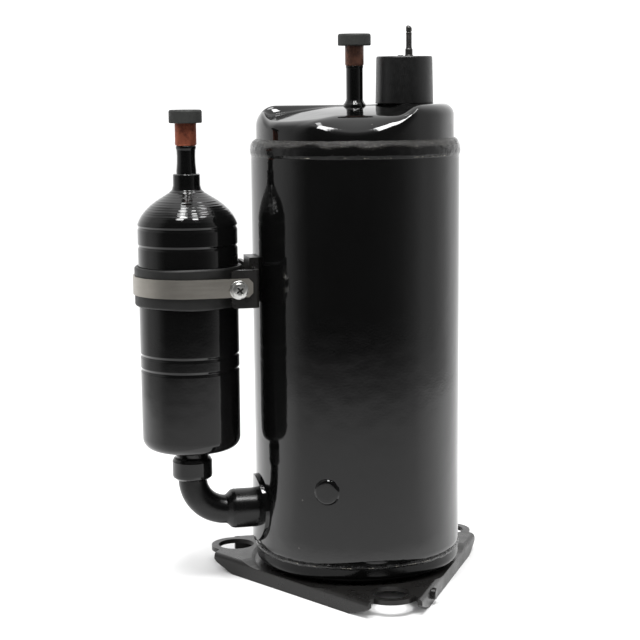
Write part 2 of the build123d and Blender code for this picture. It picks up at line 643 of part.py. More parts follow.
with BuildPart() as valve_stop:
    side = Plane(origin=(*port_at, VALVE_Z), x_dir=(*polar(1, VALVE_DIR), 0),
                 z_dir=(*polar(1, VALVE_DIR - 90), 0))
    with BuildSketch(side) as profile:
        Polygon((27.0, 0), (20.0, 0), (20.0, 0.6), (8, 1.6), (-4.2, 2.6), (-4.2, 4.0),
                (8, 3.0), (20.4, 2.0), (27.0, 2.0), align=None)
    extrude(profile.sketch, amount=3.6, both=True)
    with BuildSketch(valve_plane(VALVE_Z - 1)) as rivet_hole:
        with Locations((23.6, 0)):
            Circle(1.5)
    extrude(rivet_hole.sketch, amount=5, mode=Mode.SUBTRACT)
save(valve_stop, "valve_stop")

with BuildPart() as valve_rivet:
    with BuildSketch(valve_plane(CYL_TOP)) as shank:
        with Locations((23.6, 0)):
            Circle(1.5)
    extrude(shank.sketch, amount=VALVE_Z + 2.0 - CYL_TOP)
    with BuildSketch(valve_plane(VALVE_Z + 2.0)) as head:
        with Locations((23.6, 0)):
            Circle(2.6)
    extrude(head.sketch, amount=1.3)
save(valve_rivet, "valve_rivet")

with BuildPart() as vane:
    with BuildSketch(radial_plane(VANE_DIR, CYL_LOW + 0.04)) as outline:
        with Locations((VANE_TIP + VANE_T / 2, 0)):
            Circle(VANE_T / 2)
            Rectangle(VANE_BACK - VANE_TIP - VANE_T / 2, VANE_T,
                      align=(Align.MIN, Align.CENTER))
    extrude(outline.sketch, amount=CYL_TOP - CYL_LOW - 0.08)
save(vane, "vane")

with BuildPart() as vane_spring:
    outward = (*polar(1, VANE_DIR), 0)
    with BuildLine() as coil:
        Helix(pitch=1.45, height=6.6, radius=2.3,
              center=(*polar(VANE_BACK + 0.55, VANE_DIR), mid), direction=outward)
    with BuildSketch(Plane(origin=coil.line @ 0, z_dir=coil.line % 0)) as wire:
        Circle(0.4)
    sweep(wire.sketch, path=coil.line, is_frenet=True)
save(vane_spring, "vane_spring")

with BuildPart() as spring_plug:
    drill(VANE_DIR, 3.1, 47.8, 49.8, mid, Mode.ADD)
save(spring_plug, "spring_plug")

# ============================ shaft and roller ==============================
ecc_at = polar(ECC, ECC_DIR)
with BuildPart() as crankshaft:
    rod(LOW_J, 4.6, 24.0)
    rod(ECC_R, CYL_LOW + 0.6, CYL_TOP - 0.6, ecc_at)
    rod(6.8, CYL_TOP - 2.0, CYL_TOP + 1.0)
    rod(MAIN_J, CYL_TOP, SHAFT_TOP)
    rod(3.0, 4.0, 60.0, mode=Mode.SUBTRACT)
    with BuildSketch(cross_plane(ECC_DIR, 0, mid)) as feed:
        Circle(1.4)
    extrude(feed.sketch, amount=20, mode=Mode.SUBTRACT)
    chamfer(edges().filter_by(GeomType.CIRCLE).sort_by(Axis.Z)[-1], 0.8)
save(crankshaft, "crankshaft")

with BuildPart() as oil_paddle:
    with BuildSketch(Plane.XY.offset(6.0)) as strip:
        Rectangle(5.8, 0.8)
    extrude(strip.sketch, amount=22)
    with BuildSketch(Plane.XY.offset(28.0)) as strip:
        Rectangle(0.8, 5.8)
    extrude(strip.sketch, amount=20)
save(oil_paddle, "oil_paddle")

with BuildPart() as roller:
    tube(ROLLER_R, ECC_R + GAP, CYL_LOW + 0.03, CYL_TOP - 0.03, ecc_at)
save(roller, "roller")

# ============================ motor =========================================
with BuildPart() as stator_core:
    tube(SHELL_IN, BORE_R, STACK_LOW, STACK_TOP)
    with BuildSketch(Plane.XY.offset(STACK_LOW - 1)) as slots:
        with PolarLocations(35.6, SLOTS, start_angle=7.5):
            Rectangle(10.6, 4.0)
        with PolarLocations(29.6, SLOTS, start_angle=7.5):
            Rectangle(3.0, 1.8)
        with PolarLocations(SHELL_IN + 2.0, 6):
            Rectangle(8.0, 16.0)
    extrude(slots.sketch, amount=STACK_TOP - STACK_LOW + 2, mode=Mode.SUBTRACT)
save(stator_core, "stator_core")


def winding(radius, depth, width, ring_in, ring_out, low, high, foot, crown):
    """Slot bars joined by a rounded end turn below and above the core."""
    with BuildSketch(Plane.XY.offset(foot - 1)) as bars:
        with PolarLocations(radius, SLOTS, start_angle=7.5):
            Rectangle(depth, width)
    extrude(bars.sketch, amount=crown - foot + 2)
    tube(ring_out, ring_in, low, foot)
    tube(ring_out, ring_in, crown, high)


with BuildPart() as main_winding:
    winding(37.9, 5.4, 3.4, 35.0, 44.5, 88.0, 186.0, 99.0, 171.0)
    fillet([e for e in edges().filter_by(GeomType.CIRCLE)
            if abs(e.center().Z - 88) < 1e-6 or abs(e.center().Z - 186) < 1e-6], 3.5)
save(main_winding, "main_winding")

with BuildPart() as start_winding:
    winding(32.7, 4.2, 3.4, 30.2, 34.7, 91.0, 181.0, 100.0, 170.0)
    fillet([e for e in edges().filter_by(GeomType.CIRCLE)
            if abs(e.center().Z - 91) < 1e-6 or abs(e.center().Z - 181) < 1e-6], 1.6)
save(start_winding, "start_winding")

with BuildPart() as rotor_core:
    tube(ROTOR_R, MAIN_J, ROTOR_LOW, ROTOR_TOP)
    with BuildSketch(Plane.XY.offset(ROTOR_LOW - 1)) as holes:
        with PolarLocations(25.4, BARS):
            Circle(1.6)
        with PolarLocations(14.5, 4, start_angle=ECC_DIR + 45):
            Circle(1.6)
    extrude(holes.sketch, amount=ROTOR_TOP - ROTOR_LOW + 2, mode=Mode.SUBTRACT)
save(rotor_core, "rotor_core")

with BuildPart() as rotor_cage:
    tube(27.6, 19.0, ROTOR_LOW - 7, ROTOR_LOW)
    tube(27.6, 19.0, ROTOR_TOP, ROTOR_TOP + 7)
    with BuildSketch(Plane.XY.offset(ROTOR_LOW - 1)) as bars:
        with PolarLocations(25.4, BARS):
            Circle(1.6)
    extrude(bars.sketch, amount=ROTOR_TOP - ROTOR_LOW + 2)
save(rotor_cage, "rotor_cage")


def weight(low, high, facing):
    """Half-moon balance weight on an end ring, facing the given angle."""
    with BuildSketch(radial_plane(facing, low)) as moon:
        Circle(27.0)
        Circle(10.0, mode=Mode.SUBTRACT)
        with Locations((-2.0, 0)):
            Rectangle(60, 60, align=(Align.MAX, Align.CENTER), mode=Mode.SUBTRACT)
    extrude(moon.sketch, amount=high - low)


with BuildPart() as balance_weight_low:
    weight(ROTOR_LOW - 16, ROTOR_LOW - 7, ECC_DIR + 180)
    for swing in (-45, 45):
        spot = polar(14.5, ECC_DIR + 180 + swing)
        rod(3.2, ROTOR_LOW - 7.5, ROTOR_LOW, spot)
        rod(1.6, ROTOR_LOW - 20, ROTOR_LOW + 1, spot, Mode.SUBTRACT)
save(balance_weight_low, "balance_weight_low")

with BuildPart() as balance_weight_top:
    weight(ROTOR_TOP + 7, ROTOR_TOP + 15, ECC_DIR)
    for swing in (-45, 45):
        spot = polar(14.5, ECC_DIR + swing)
        rod(3.2, ROTOR_TOP, ROTOR_TOP + 7.5, spot)
        rod(1.6, ROTOR_TOP - 1, ROTOR_TOP + 20, spot, Mode.SUBTRACT)
save(balance_weight_top, "balance_weight_top")

with BuildPart() as rotor_rivets:
    for swing in (135, -135):
        spot = polar(14.5, ECC_DIR + swing)
        rod(1.6, ROTOR_LOW - 17, ROTOR_TOP + 1, spot)
        rod(2.8, ROTOR_LOW - 17.2, ROTOR_LOW - 16, spot)
        rod(2.8, ROTOR_TOP, ROTOR_TOP + 1.2, spot)
    for swing in (45, -45):
        spot = polar(14.5, ECC_DIR + swing)
        rod(1.6, ROTOR_LOW - 1, ROTOR_TOP + 16, spot)
        rod(2.8, ROTOR_LOW - 1.2, ROTOR_LOW, spot)
        rod(2.8, ROTOR_TOP + 15, ROTOR_TOP + 16.2, spot)
save(rotor_rivets, "rotor_rivets")

with BuildPart() as oil_separator:
    turn([(MAIN_J, 179.6), (9.6, 179.6), (9.6, 182.6), (22.0, 184.2), (22.0, 185.2),
          (9.0, 183.8), (MAIN_J, 183.8)])
save(oil_separator, "oil_separator")
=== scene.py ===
"""Looks of the rotary compressor: replaced pieces, materials, studio and camera."""

import json
import math

import bmesh
import bpy
import numpy as np
from mathutils import Matrix, Vector, noise


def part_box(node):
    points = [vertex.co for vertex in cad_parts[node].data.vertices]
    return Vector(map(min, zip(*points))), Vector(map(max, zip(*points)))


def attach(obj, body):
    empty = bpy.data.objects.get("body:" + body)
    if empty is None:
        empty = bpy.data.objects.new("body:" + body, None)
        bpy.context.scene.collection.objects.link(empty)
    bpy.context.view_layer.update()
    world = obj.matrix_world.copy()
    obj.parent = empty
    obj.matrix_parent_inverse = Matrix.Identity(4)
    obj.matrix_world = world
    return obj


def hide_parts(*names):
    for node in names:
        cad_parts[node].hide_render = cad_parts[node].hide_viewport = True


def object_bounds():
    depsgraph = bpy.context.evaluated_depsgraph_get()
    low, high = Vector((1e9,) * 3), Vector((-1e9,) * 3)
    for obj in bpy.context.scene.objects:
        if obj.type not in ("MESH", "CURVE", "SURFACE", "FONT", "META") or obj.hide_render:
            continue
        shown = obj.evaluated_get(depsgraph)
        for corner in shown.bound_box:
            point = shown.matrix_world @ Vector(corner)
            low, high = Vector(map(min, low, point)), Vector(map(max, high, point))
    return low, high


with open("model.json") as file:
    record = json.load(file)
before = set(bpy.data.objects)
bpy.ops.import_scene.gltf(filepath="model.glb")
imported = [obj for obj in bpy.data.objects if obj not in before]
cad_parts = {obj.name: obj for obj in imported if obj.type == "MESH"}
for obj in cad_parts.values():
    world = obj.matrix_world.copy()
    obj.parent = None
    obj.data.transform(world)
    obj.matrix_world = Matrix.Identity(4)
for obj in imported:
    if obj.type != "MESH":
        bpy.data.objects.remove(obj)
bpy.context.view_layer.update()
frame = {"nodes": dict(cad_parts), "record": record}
nodes = frame["nodes"]
MM = 0.001


# ----------------------------------------------------------------- places ---
def axis_of(node):
    """Where an upright node's axis stands, in metres."""
    low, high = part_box(node)
    return (low.x + high.x) / 2, (low.y + high.y) / 2


def span(node):
    """A node's lowest and highest level, in metres."""
    low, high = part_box(node)
    return low.z, high.z


def span_mm(node):
    return tuple(level / MM for level in span(node))


def radius_mm(node):
    """Half the width of a round node."""
    low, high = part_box(node)
    return (high.x - low.x) / 2 / MM


SHELL = axis_of("shell_tube")
R = radius_mm("shell_tube")
ACC = axis_of("accumulator_shell")
COVER = axis_of("terminal_cover")
STUD = axis_of("terminal_stud")


# ---------------------------------------------------------- node material ---
class Finish:
    """A Principled material and short calls for the nodes that feed it."""

    def __init__(self, name, colour, rough, metallic=0.0, ior=1.5, specular=0.5):
        self.material = bpy.data.materials.new(name)
        self.material.use_nodes = True
        self.tree = self.material.node_tree
        self.tree.nodes.clear()
        out = self.node("ShaderNodeOutputMaterial")
        self.bsdf = self.node("ShaderNodeBsdfPrincipled")
        self.link(self.bsdf.outputs[0], out.inputs["Surface"])
        self.bsdf.inputs["Base Color"].default_value = (*colour, 1)
        self.bsdf.inputs["Roughness"].default_value = rough
        self.bsdf.inputs["Metallic"].default_value = metallic
        self.bsdf.inputs["IOR"].default_value = ior
        self.bsdf.inputs["Specular IOR Level"].default_value = specular
        self.place = self.node("ShaderNodeTexCoord").outputs["Object"]
        self.height = None

    def node(self, kind, **settings):
        made = self.tree.nodes.new(kind)
        for key, value in settings.items():
            setattr(made, key, value)
        return made

    def link(self, a, b):
        self.tree.links.new(a, b)

    def put(self, socket, value):
        if isinstance(value, bpy.types.NodeSocket):
            self.link(value, socket)
        elif isinstance(value, (tuple, list)) and len(value) == 3 and socket.type == "RGBA":
            socket.default_value = (*value, 1)
        else:
            socket.default_value = value

    def stretch(self, x, y, z):
        """Object coordinates scaled unevenly, to draw the noise out along an axis."""
        made = self.node("ShaderNodeVectorMath", operation="MULTIPLY")
        self.link(self.place, made.inputs[0])
        made.inputs[1].default_value = (x, y, z)
        return made.outputs[0]

    def noise(self, scale, detail=2.0, rough=0.5, at=None):
        made = self.node("ShaderNodeTexNoise")
        self.link(at or self.place, made.inputs["Vector"])
        made.inputs["Scale"].default_value = scale
        made.inputs["Detail"].default_value = detail
        made.inputs["Roughness"].default_value = rough
        return made.outputs["Fac"]

    def cells(self, scale, what):
        made = self.node("ShaderNodeTexVoronoi")
        self.link(self.place, made.inputs["Vector"])
        made.inputs["Scale"].default_value = scale
        return made.outputs[what]

    def ramp(self, value, *stops):
        """A colour ramp through (position, colour) stops."""
        made = self.node("ShaderNodeValToRGB")
        self.link(value, made.inputs["Fac"])
        band = made.color_ramp
        while len(band.elements) < len(stops):
            band.elements.new(0.5)
        for element, (where, colour) in zip(band.elements, stops):
            element.position = where
            element.color = (*colour, 1)
        return made.outputs["Color"]

    def reach(self, value, low, high, a, b):
        """Map low..high to a..b, and clamp."""
        made = self.node("ShaderNodeMapRange")
        self.link(value, made.inputs["Value"])
        for key, number in (("From Min", low), ("From Max", high), ("To Min", a), ("To Max", b)):
            made.inputs[key].default_value = number
        return made.outputs["Result"]

    def blend(self, factor, a, b):
        made = self.node("ShaderNodeMix", data_type="RGBA")
        self.put(made.inputs["Factor"], factor)
        self.put(made.inputs[6], a)
        self.put(made.inputs[7], b)
        return made.outputs[2]

    def sum(self, a, b, how="ADD", clamp=False):
        made = self.node("ShaderNodeMath", operation=how, use_clamp=clamp)
        self.put(made.inputs[0], a)
        self.put(made.inputs[1], b)
        return made.outputs[0]

    def axis(self, which):
        made = self.node("ShaderNodeSeparateXYZ")
        self.link(self.place, made.inputs[0])
        return made.outputs[which]

    def window(self, value, low, high, soft):
        """1 between low and high, with soft edges."""
        up = self.reach(value, low - soft, low + soft, 0, 1)
        down = self.reach(value, high - soft, high + soft, 1, 0)
        return self.sum(up, down, "MULTIPLY")

    def colour(self, value):
        self.put(self.bsdf.inputs["Base Color"], value)

    def gloss(self, value):
        self.put(self.bsdf.inputs["Roughness"], value)

    def bump(self, height, strength, distance):
        """Add a layer of bump over the layers so far."""
        made = self.node("ShaderNodeBump")
        self.put(made.inputs["Height"], height)
        made.inputs["Strength"].default_value = strength
        made.inputs["Distance"].default_value = distance
        if self.height is not None:
            self.link(self.height, made.inputs["Normal"])
        self.height = made.outputs["Normal"]
        self.link(self.height, self.bsdf.inputs["Normal"])


SPECKS_PER_M = 105


def enamel(name, base=0.0022, gloss=(0.035, 0.11), peel=0.05, specks=True, specular=0.5):
    """Gloss black stove enamel: orange peel, faint smudges, a few dust specks."""
    f = Finish(name, (base, base, base), 0.07, specular=specular)
    cloud = f.noise(26, 3, 0.6)
    f.gloss(f.reach(f.noise(45, 5, 0.65), 0.35, 0.75, *gloss))
    tone = f.blend(cloud, (base * 0.75, base * 0.75, base * 0.72), (base * 1.25, base * 1.28, base * 1.3))
    if specks:
        spot = f.cells(SPECKS_PER_M, "Distance")
        rare = f.cells(SPECKS_PER_M, "Color")
        keep = f.sum(f.reach(rare, 0.80, 0.82, 0, 1), f.reach(spot, 0.045, 0.03, 0, 1), "MULTIPLY", True)
        tone = f.blend(keep, tone, (0.07, 0.068, 0.062))
    f.colour(tone)
    f.bump(f.noise(900, 2, 0.5), peel, 0.0004)
    f.bump(f.noise(95, 1, 0.4), 0.06, 0.0016)
    return f


# -------------------------------------------------------------- materials ---
paint = enamel("shell_enamel")
shell_paint = enamel("shell_enamel_speckled")
cap_paint = enamel("cap_enamel", gloss=(0.03, 0.09), peel=0.03)
# A darker, duller copy of the shell enamel with weaker reflection: painted shade, for the bottom cap under
# the shell and the lower edges of the plug welds.
painted_shade_enamel = enamel("underside_painted_shade", base=0.0014, gloss=(0.10, 0.26), specks=False, specular=0.16)


def worn_line(f, centre, half, dash_scale):
    """A thin broken line of bare metal where the paint missed the edge of a weld.

    Gives the mask of the dashes and the tone of the metal in them.
    """
    z = f.axis("Z")
    wander = f.reach(f.noise(180, 2), 0.3, 0.7, -0.00022, 0.00022)
    line = f.window(f.sum(z, wander), centre - half, centre + half, 0.00008)
    dashes = f.reach(f.noise(dash_scale, 4, 0.8), 0.53, 0.62, 0, 1)
    metal = f.blend(f.noise(1300, 3), (0.05, 0.045, 0.035), (0.36, 0.34, 0.28))
    return f.sum(line, dashes, "MULTIPLY", True), metal


# The top weld is glossy low down and gritty along its upper edge.
weld = Finish("weld_enamel", (0.003, 0.003, 0.003), 0.12, specular=0.34)
weld_start = span("top_weld")[0]
bare, metal_tone = worn_line(weld, weld_start + 0.0002, 0.00012, 260)
uneven_height = weld.sum(weld.axis("Z"), weld.reach(weld.noise(70, 3), 0.3, 0.7, -0.0014, 0.0014))
rough_zone = weld.reach(uneven_height, weld_start + 0.0050, weld_start + 0.0066, 0, 1)
grit = weld.noise(900, 3, 0.75)
sparkle = weld.sum(weld.reach(weld.noise(1700, 2, 0.6), 0.63, 0.70, 0, 1), rough_zone, "MULTIPLY", True)
bead_tone = weld.blend(rough_zone, (0.0025, 0.0025, 0.0025), (0.009, 0.0085, 0.0075))
bead_tone = weld.blend(sparkle, bead_tone, (0.13, 0.12, 0.10))
weld.colour(weld.blend(bare, bead_tone, metal_tone))
weld.gloss(weld.sum(weld.reach(rough_zone, 0, 1, 0.07, 0.17), weld.reach(grit, 0.3, 0.7, -0.02, 0.06)))
weld.bump(weld.sum(grit, rough_zone, "MULTIPLY"), 0.75, 0.0011)
weld.bump(weld.noise(230, 3, 0.6), 0.30, 0.0012)

low_weld = Finish("low_weld_enamel", (0.003, 0.003, 0.003), 0.2)
bare, metal_tone = worn_line(low_weld, span("bottom_weld")[0] + 0.0011, 0.00013, 330)
low_weld.colour(low_weld.blend(bare, (0.003, 0.003, 0.003), metal_tone))
low_weld.gloss(low_weld.reach(low_weld.noise(300, 3), 0.3, 0.7, 0.12, 0.4))
low_weld.bump(low_weld.noise(700, 3), 0.6, 0.0007)

plate = Finish("plate_enamel", (0.016, 0.016, 0.016), 0.3, ior=1.34)
plate.colour(plate.blend(plate.noise(120, 4, 0.6), (0.0062, 0.0060, 0.0058), (0.0125, 0.0119, 0.0113)))
plate.gloss(plate.reach(plate.noise(60, 5, 0.7), 0.3, 0.75, 0.22, 0.40))
plate.bump(plate.noise(850, 3, 0.6), 0.16, 0.0004)
plate.bump(plate.noise(90, 2), 0.1, 0.0012)

pipe_paint = enamel("pipe_enamel", gloss=(0.20, 0.34), specks=False, specular=0.32)

accumulator_paint = enamel("accumulator_enamel", peel=0.035, specks=False)
spun = accumulator_paint.noise(60, 2, at=accumulator_paint.stretch(0.35, 0.35, 22))
cone_only = accumulator_paint.reach(accumulator_paint.axis("Z"), 0.190, 0.194, 0, 1)
accumulator_paint.bump(accumulator_paint.sum(spun, cone_only, "MULTIPLY"), 0.03, 0.0005)

band_rubber = Finish("band_rubber", (0.02, 0.02, 0.019), 0.62)
band_rubber.colour(band_rubber.blend(band_rubber.noise(200, 4),
                                     (0.0028, 0.0029, 0.0027), (0.0072, 0.0072, 0.0066)))
band_rubber.gloss(band_rubber.reach(band_rubber.noise(90, 3), 0.3, 0.7, 0.4, 0.6))
band_rubber.bump(band_rubber.noise(1400, 3), 0.2, 0.0003)

cap_rubber = Finish("cap_rubber", (0.03, 0.032, 0.03), 0.7)
cap_rubber.colour(cap_rubber.blend(cap_rubber.noise(350, 4, 0.6),
                                   (0.0085, 0.0095, 0.0085), (0.016, 0.017, 0.015)))
cap_rubber.gloss(cap_rubber.reach(cap_rubber.noise(500, 3), 0.3, 0.7, 0.6, 0.82))
cap_rubber.bump(cap_rubber.noise(1900, 3), 0.25, 0.0003)

plastic = Finish("cover_plastic", (0.011, 0.011, 0.0115), 0.5)
plastic.colour(plastic.blend(plastic.noise(160, 4, 0.6),
                             (0.0030, 0.0030, 0.0030), (0.0058, 0.0060, 0.0062)))
plastic.gloss(plastic.reach(plastic.noise(420, 3), 0.3, 0.7, 0.30, 0.42))
plastic.bump(plastic.noise(2600, 3, 0.6), 0.3, 0.00025)


def scorched_copper(name, colour, metallic, blotch, start, end, burn, stops, gloss):
    """Tube copper that darkens from start to end, a stub's two levels, where it was brazed and handled."""
    f = Finish(name, colour, 0.42, metallic)
    stain = f.sum(f.noise(blotch, 4, 0.7), f.reach(f.axis("Z"), start, end, *burn))
    f.colour(f.ramp(stain, *stops))
    f.gloss(f.reach(f.noise(300, 3), 0.3, 0.7, *gloss))
    f.bump(f.noise(60, 2, at=f.stretch(4, 4, 40)), 0.08, 0.0003)
    return f


copper_red = scorched_copper(
    "suction_copper", (0.30, 0.10, 0.06), 0.9, 420,
    span("suction_stub")[0] + 0.005, span("suction_stub")[1] - 0.003, (-0.12, 0.2),
    [(0.36, (0.34, 0.105, 0.06)), (0.58, (0.19, 0.058, 0.036)), (0.78, (0.085, 0.030, 0.022))],
    (0.38, 0.58))
copper_dark = scorched_copper(
    "discharge_copper", (0.12, 0.06, 0.045), 0.85, 380,
    span("discharge_stub")[0] + 0.004, span("discharge_cap")[0], (-0.1, 0.22),
    [(0.36, (0.17, 0.080, 0.055)), (0.6, (0.095, 0.05, 0.04)), (0.8, (0.03, 0.018, 0.015))],
    (0.34, 0.52))

strap_steel = Finish("strap_steel", (0.44, 0.415, 0.375), 0.4, 1.0)
strap_steel.colour(strap_steel.blend(strap_steel.noise(55, 5, 0.7),
                                     (0.33, 0.31, 0.275), (0.50, 0.475, 0.435)))
brushed = strap_steel.noise(100, 4, at=strap_steel.stretch(0.5, 0.5, 14))
strap_steel.gloss(strap_steel.reach(brushed, 0.3, 0.7, 0.36, 0.46))
strap_steel.bump(strap_steel.noise(160, 3, at=strap_steel.stretch(0.6, 0.6, 20)), 0.03, 0.00012)

zinc = Finish("zinc_plate", (0.72, 0.72, 0.70), 0.24, 1.0)
zinc.colour(zinc.blend(zinc.noise(420, 3, 0.6), (0.60, 0.60, 0.57), (0.80, 0.80, 0.78)))
zinc.gloss(zinc.reach(zinc.noise(600, 3), 0.3, 0.7, 0.26, 0.38))
zinc.bump(zinc.noise(1500, 2), 0.04, 0.0002)


def bare_metal(name, dark, light, gloss, drawn=None, metallic=1.0, scale=300, grain=0.1):
    """Unpainted metal. `drawn` stretches the grain along an axis, as drawing or winding does."""
    f = Finish(name, light, sum(gloss) / 2, metallic)
    f.colour(f.blend(f.noise(scale, 4, 0.65), dark, light))
    f.gloss(f.reach(f.noise(scale * 0.6, 3), 0.3, 0.7, *gloss))
    at = f.stretch(*drawn) if drawn else None
    f.bump(f.noise(scale * (0.3 if drawn else 3), 3, at=at), grain, 0.0003)
    return f


# Dark steel for the faces deep inside the screw's cross recess: painted shade.
recess_painted_shade = bare_metal("recess_painted_shade", (0.02, 0.02, 0.019), (0.06, 0.06, 0.056), (0.45, 0.6),
                         metallic=0.5, scale=900)
dark_steel = bare_metal("dark_steel", (0.012, 0.012, 0.012), (0.05, 0.048, 0.045), (0.25, 0.42),
                        metallic=0.6, scale=900)
machined = bare_metal("machined_steel", (0.42, 0.42, 0.43), (0.6, 0.6, 0.61), (0.16, 0.3), (1, 1, 30))
iron = bare_metal("grey_iron", (0.16, 0.16, 0.165), (0.28, 0.28, 0.28), (0.4, 0.6), scale=700, grain=0.25)
pressed = bare_metal("pressed_steel", (0.3, 0.3, 0.31), (0.46, 0.46, 0.47), (0.25, 0.42), scale=240)
lamination = bare_metal("lamination_steel", (0.10, 0.12, 0.17), (0.30, 0.32, 0.36), (0.35, 0.5),
                        (0.4, 0.4, 90), scale=160, grain=0.5)
winding = bare_metal("winding_copper", (0.30, 0.08, 0.025), (0.60, 0.22, 0.08), (0.2, 0.34), (1, 1, 8),
                     metallic=0.85, scale=900, grain=0.5)
cage = bare_metal("cast_aluminium", (0.55, 0.56, 0.58), (0.72, 0.73, 0.75), (0.35, 0.5), scale=500)
brass = bare_metal("weight_brass", (0.42, 0.30, 0.12), (0.62, 0.46, 0.21), (0.28, 0.42), scale=380)
spring = bare_metal("spring_steel", (0.38, 0.38, 0.39), (0.55, 0.55, 0.56), (0.2, 0.35), scale=600)
liner = bare_metal("liner_copper", (0.5, 0.22, 0.12), (0.72, 0.34, 0.2), (0.22, 0.36), scale=400)

glass = Finish("seal_glass", (0.03, 0.10, 0.11), 0.12)
glass.colour(glass.blend(glass.noise(900, 3), (0.015, 0.06, 0.07), (0.05, 0.14, 0.14)))
glass.bump(glass.noise(500, 2), 0.1, 0.0002)

lead = Finish("lead_sleeve", (0.4, 0.05, 0.03), 0.5)
lead.colour(lead.blend(lead.noise(500, 4), (0.28, 0.03, 0.02), (0.5, 0.075, 0.045)))
lead.bump(lead.noise(1400, 3), 0.2, 0.0003)

connector = Finish("connector_body", (0.7, 0.68, 0.62), 0.45)
connector.colour(connector.blend(connector.noise(260, 4), (0.62, 0.59, 0.52), (0.76, 0.74, 0.69)))
connector.bump(connector.noise(1500, 3), 0.15, 0.0003)

by_slot = {
    "shell_paint": paint, "plate_paint": plate, "weld_metal": weld, "copper_suction": copper_red,
    "copper_discharge": copper_dark, "copper_liner": liner, "cap_rubber": cap_rubber,
    "band_rubber": band_rubber, "cover_plastic": plastic, "strap_steel": strap_steel, "zinc": zinc,
    "dark_steel": dark_steel, "machined_steel": machined, "iron": iron, "pressed_steel": pressed,
    "lamination": lamination, "winding": winding, "cage": cage, "weight": brass,
    "glass_seal": glass, "lead": lead, "connector": connector, "spring_steel": spring,
}
for entry in frame["record"]["subparts"]:
    piece = nodes[entry["node"]]
    piece.data.materials.clear()
    piece.data.materials.append(by_slot[entry["material_slot"]].material)


# ------------------------------------------------------------ piece tools ---
def add_object(name, data):
    obj = bpy.data.objects.new(name, data)
    bpy.context.scene.collection.objects.link(obj)
    return obj


def make(name, points, faces, finish, body, slot, *stands_for):
    """A smooth-shaded piece from points in mm, riding a body and standing for some CAD nodes."""
    mesh = bpy.data.meshes.new(name)
    mesh.from_pydata((np.asarray(points, float) * MM).tolist(), [], faces)
    mesh.validate()
    mesh.polygons.foreach_set("use_smooth", [True] * len(mesh.polygons))
    mesh.materials.append(finish.material)
    obj = add_object(name, mesh)
    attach(obj, body)
    if stands_for:
        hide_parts(*stands_for)
    return obj


def quads(rows, sides):
    """Faces between successive rings of points."""
    faces = []
    for i in range(rows - 1):
        for k in range(sides):
            n = (k + 1) % sides
            faces.append((i * sides + k, i * sides + n, (i + 1) * sides + n, (i + 1) * sides + k))
    return faces


FILLET_SHARE = 0.48  # of an edge, the most that the fillet at one end may take


def rounded(corners, steps=5, guard=0.18):
    """Turn (r, z, fillet) corners into a smooth outline with support points beside each fillet."""
    line = []
    last = len(corners) - 1
    for i, (r, z, fillet) in enumerate(corners):
        here = np.array((r, z), float)
        if i in (0, last) or fillet <= 0:
            line.append(here)
            continue
        before, after = np.array(corners[i - 1][:2], float), np.array(corners[i + 1][:2], float)
        u, v = before - here, after - here
        lu, lv = np.linalg.norm(u), np.linalg.norm(v)
        u, v = u / lu, v / lv
        half = math.acos(max(-1, min(1, float(u @ v)))) / 2
        back = min(fillet / math.tan(half), lu * FILLET_SHARE, lv * FILLET_SHARE)
        radius = back * math.tan(half)
        start, end = here + u * back, here + v * back
        centre = here + (u + v) / np.linalg.norm(u + v) * (radius / math.sin(half))
        a0, a1 = start - centre, end - centre
        turn = math.pi - 2 * half
        if lu - back > guard * 2:
            line.append(start + u * guard)
        for k in range(steps + 1):
            t = k / steps
            mixed = (math.sin((1 - t) * turn) * a0 + math.sin(t * turn) * a1) / math.sin(turn)
            line.append(centre + mixed)
        if lv - back > guard * 2:
            line.append(end + v * guard)
    return np.array(line)


def resample(line, parts_of):
    """Split each stretch of an outline into parts_of(r0, z0, r1, z1) equal parts."""
    made = []
    for (r0, z0), (r1, z1) in zip(line[:-1], line[1:]):
        parts = max(1, parts_of(r0, z0, r1, z1))
        made += [(r0 + (r1 - r0) * t / parts, z0 + (z1 - z0) * t / parts) for t in range(parts)]
    return made + [tuple(line[-1])]


def lathe(name, outline, at, finish, body, slot, *stands_for, segments=160, shape=None):
    """Turn an (r, z) outline, in mm, about an upright axis. `shape` may move the points."""
    outline = np.asarray(outline, float)
    angles = np.arange(segments) * (2 * math.pi / segments)
    ring = np.stack([np.cos(angles), np.sin(angles)], 1)
    r = np.repeat(outline[:, 0:1], segments, 1)
    z = np.repeat(outline[:, 1:2], segments, 1)
    if shape:
        r, z = shape(r, z, np.repeat(angles[None, :], len(outline), 0))
    points = np.stack([r * ring[:, 0] + at[0] / MM, r * ring[:, 1] + at[1] / MM, z], 2).reshape(-1, 3)
    weld_poles(make(name, points, quads(len(outline), segments), finish, body, slot, *stands_for))


def weld_poles(obj, reach=1e-6):
    """Join points that meet on the axis, and point every face outward."""
    work = bmesh.new()
    work.from_mesh(obj.data)
    bmesh.ops.remove_doubles(work, verts=work.verts, dist=reach)
    bmesh.ops.recalc_face_normals(work, faces=work.faces)
    work.to_mesh(obj.data)
    work.free()


def ripple(x, y, z, size, seed=0.0):
    """Smooth noise from about -1 to 1, with lumps of the given size in mm."""
    return noise.noise(Vector((x / size + seed, y / size - seed, z / size + seed * 0.5)))


# -------------------------------------------------------- shell and seams ---
shell_low, shell_top = span_mm("shell_tube")
TUBE_WALL = 2.6


def shell_shape(r, z, angle):
    """Rolled and sized shell: out of round by a few hundredths, with very faint long waves."""
    return r + 0.03 * np.cos(2 * angle + 0.4) + 0.02 * np.sin(3 * angle + z / 70), z


outer_line = [(R, height) for height in np.linspace(shell_low, shell_top, 55)]
lathe("shell_skin", [(R - TUBE_WALL, shell_low), *outer_line, (R - TUBE_WALL, shell_top)], SHELL,
      shell_paint, "housing", "shell_paint", "shell_tube", segments=288, shape=shell_shape)

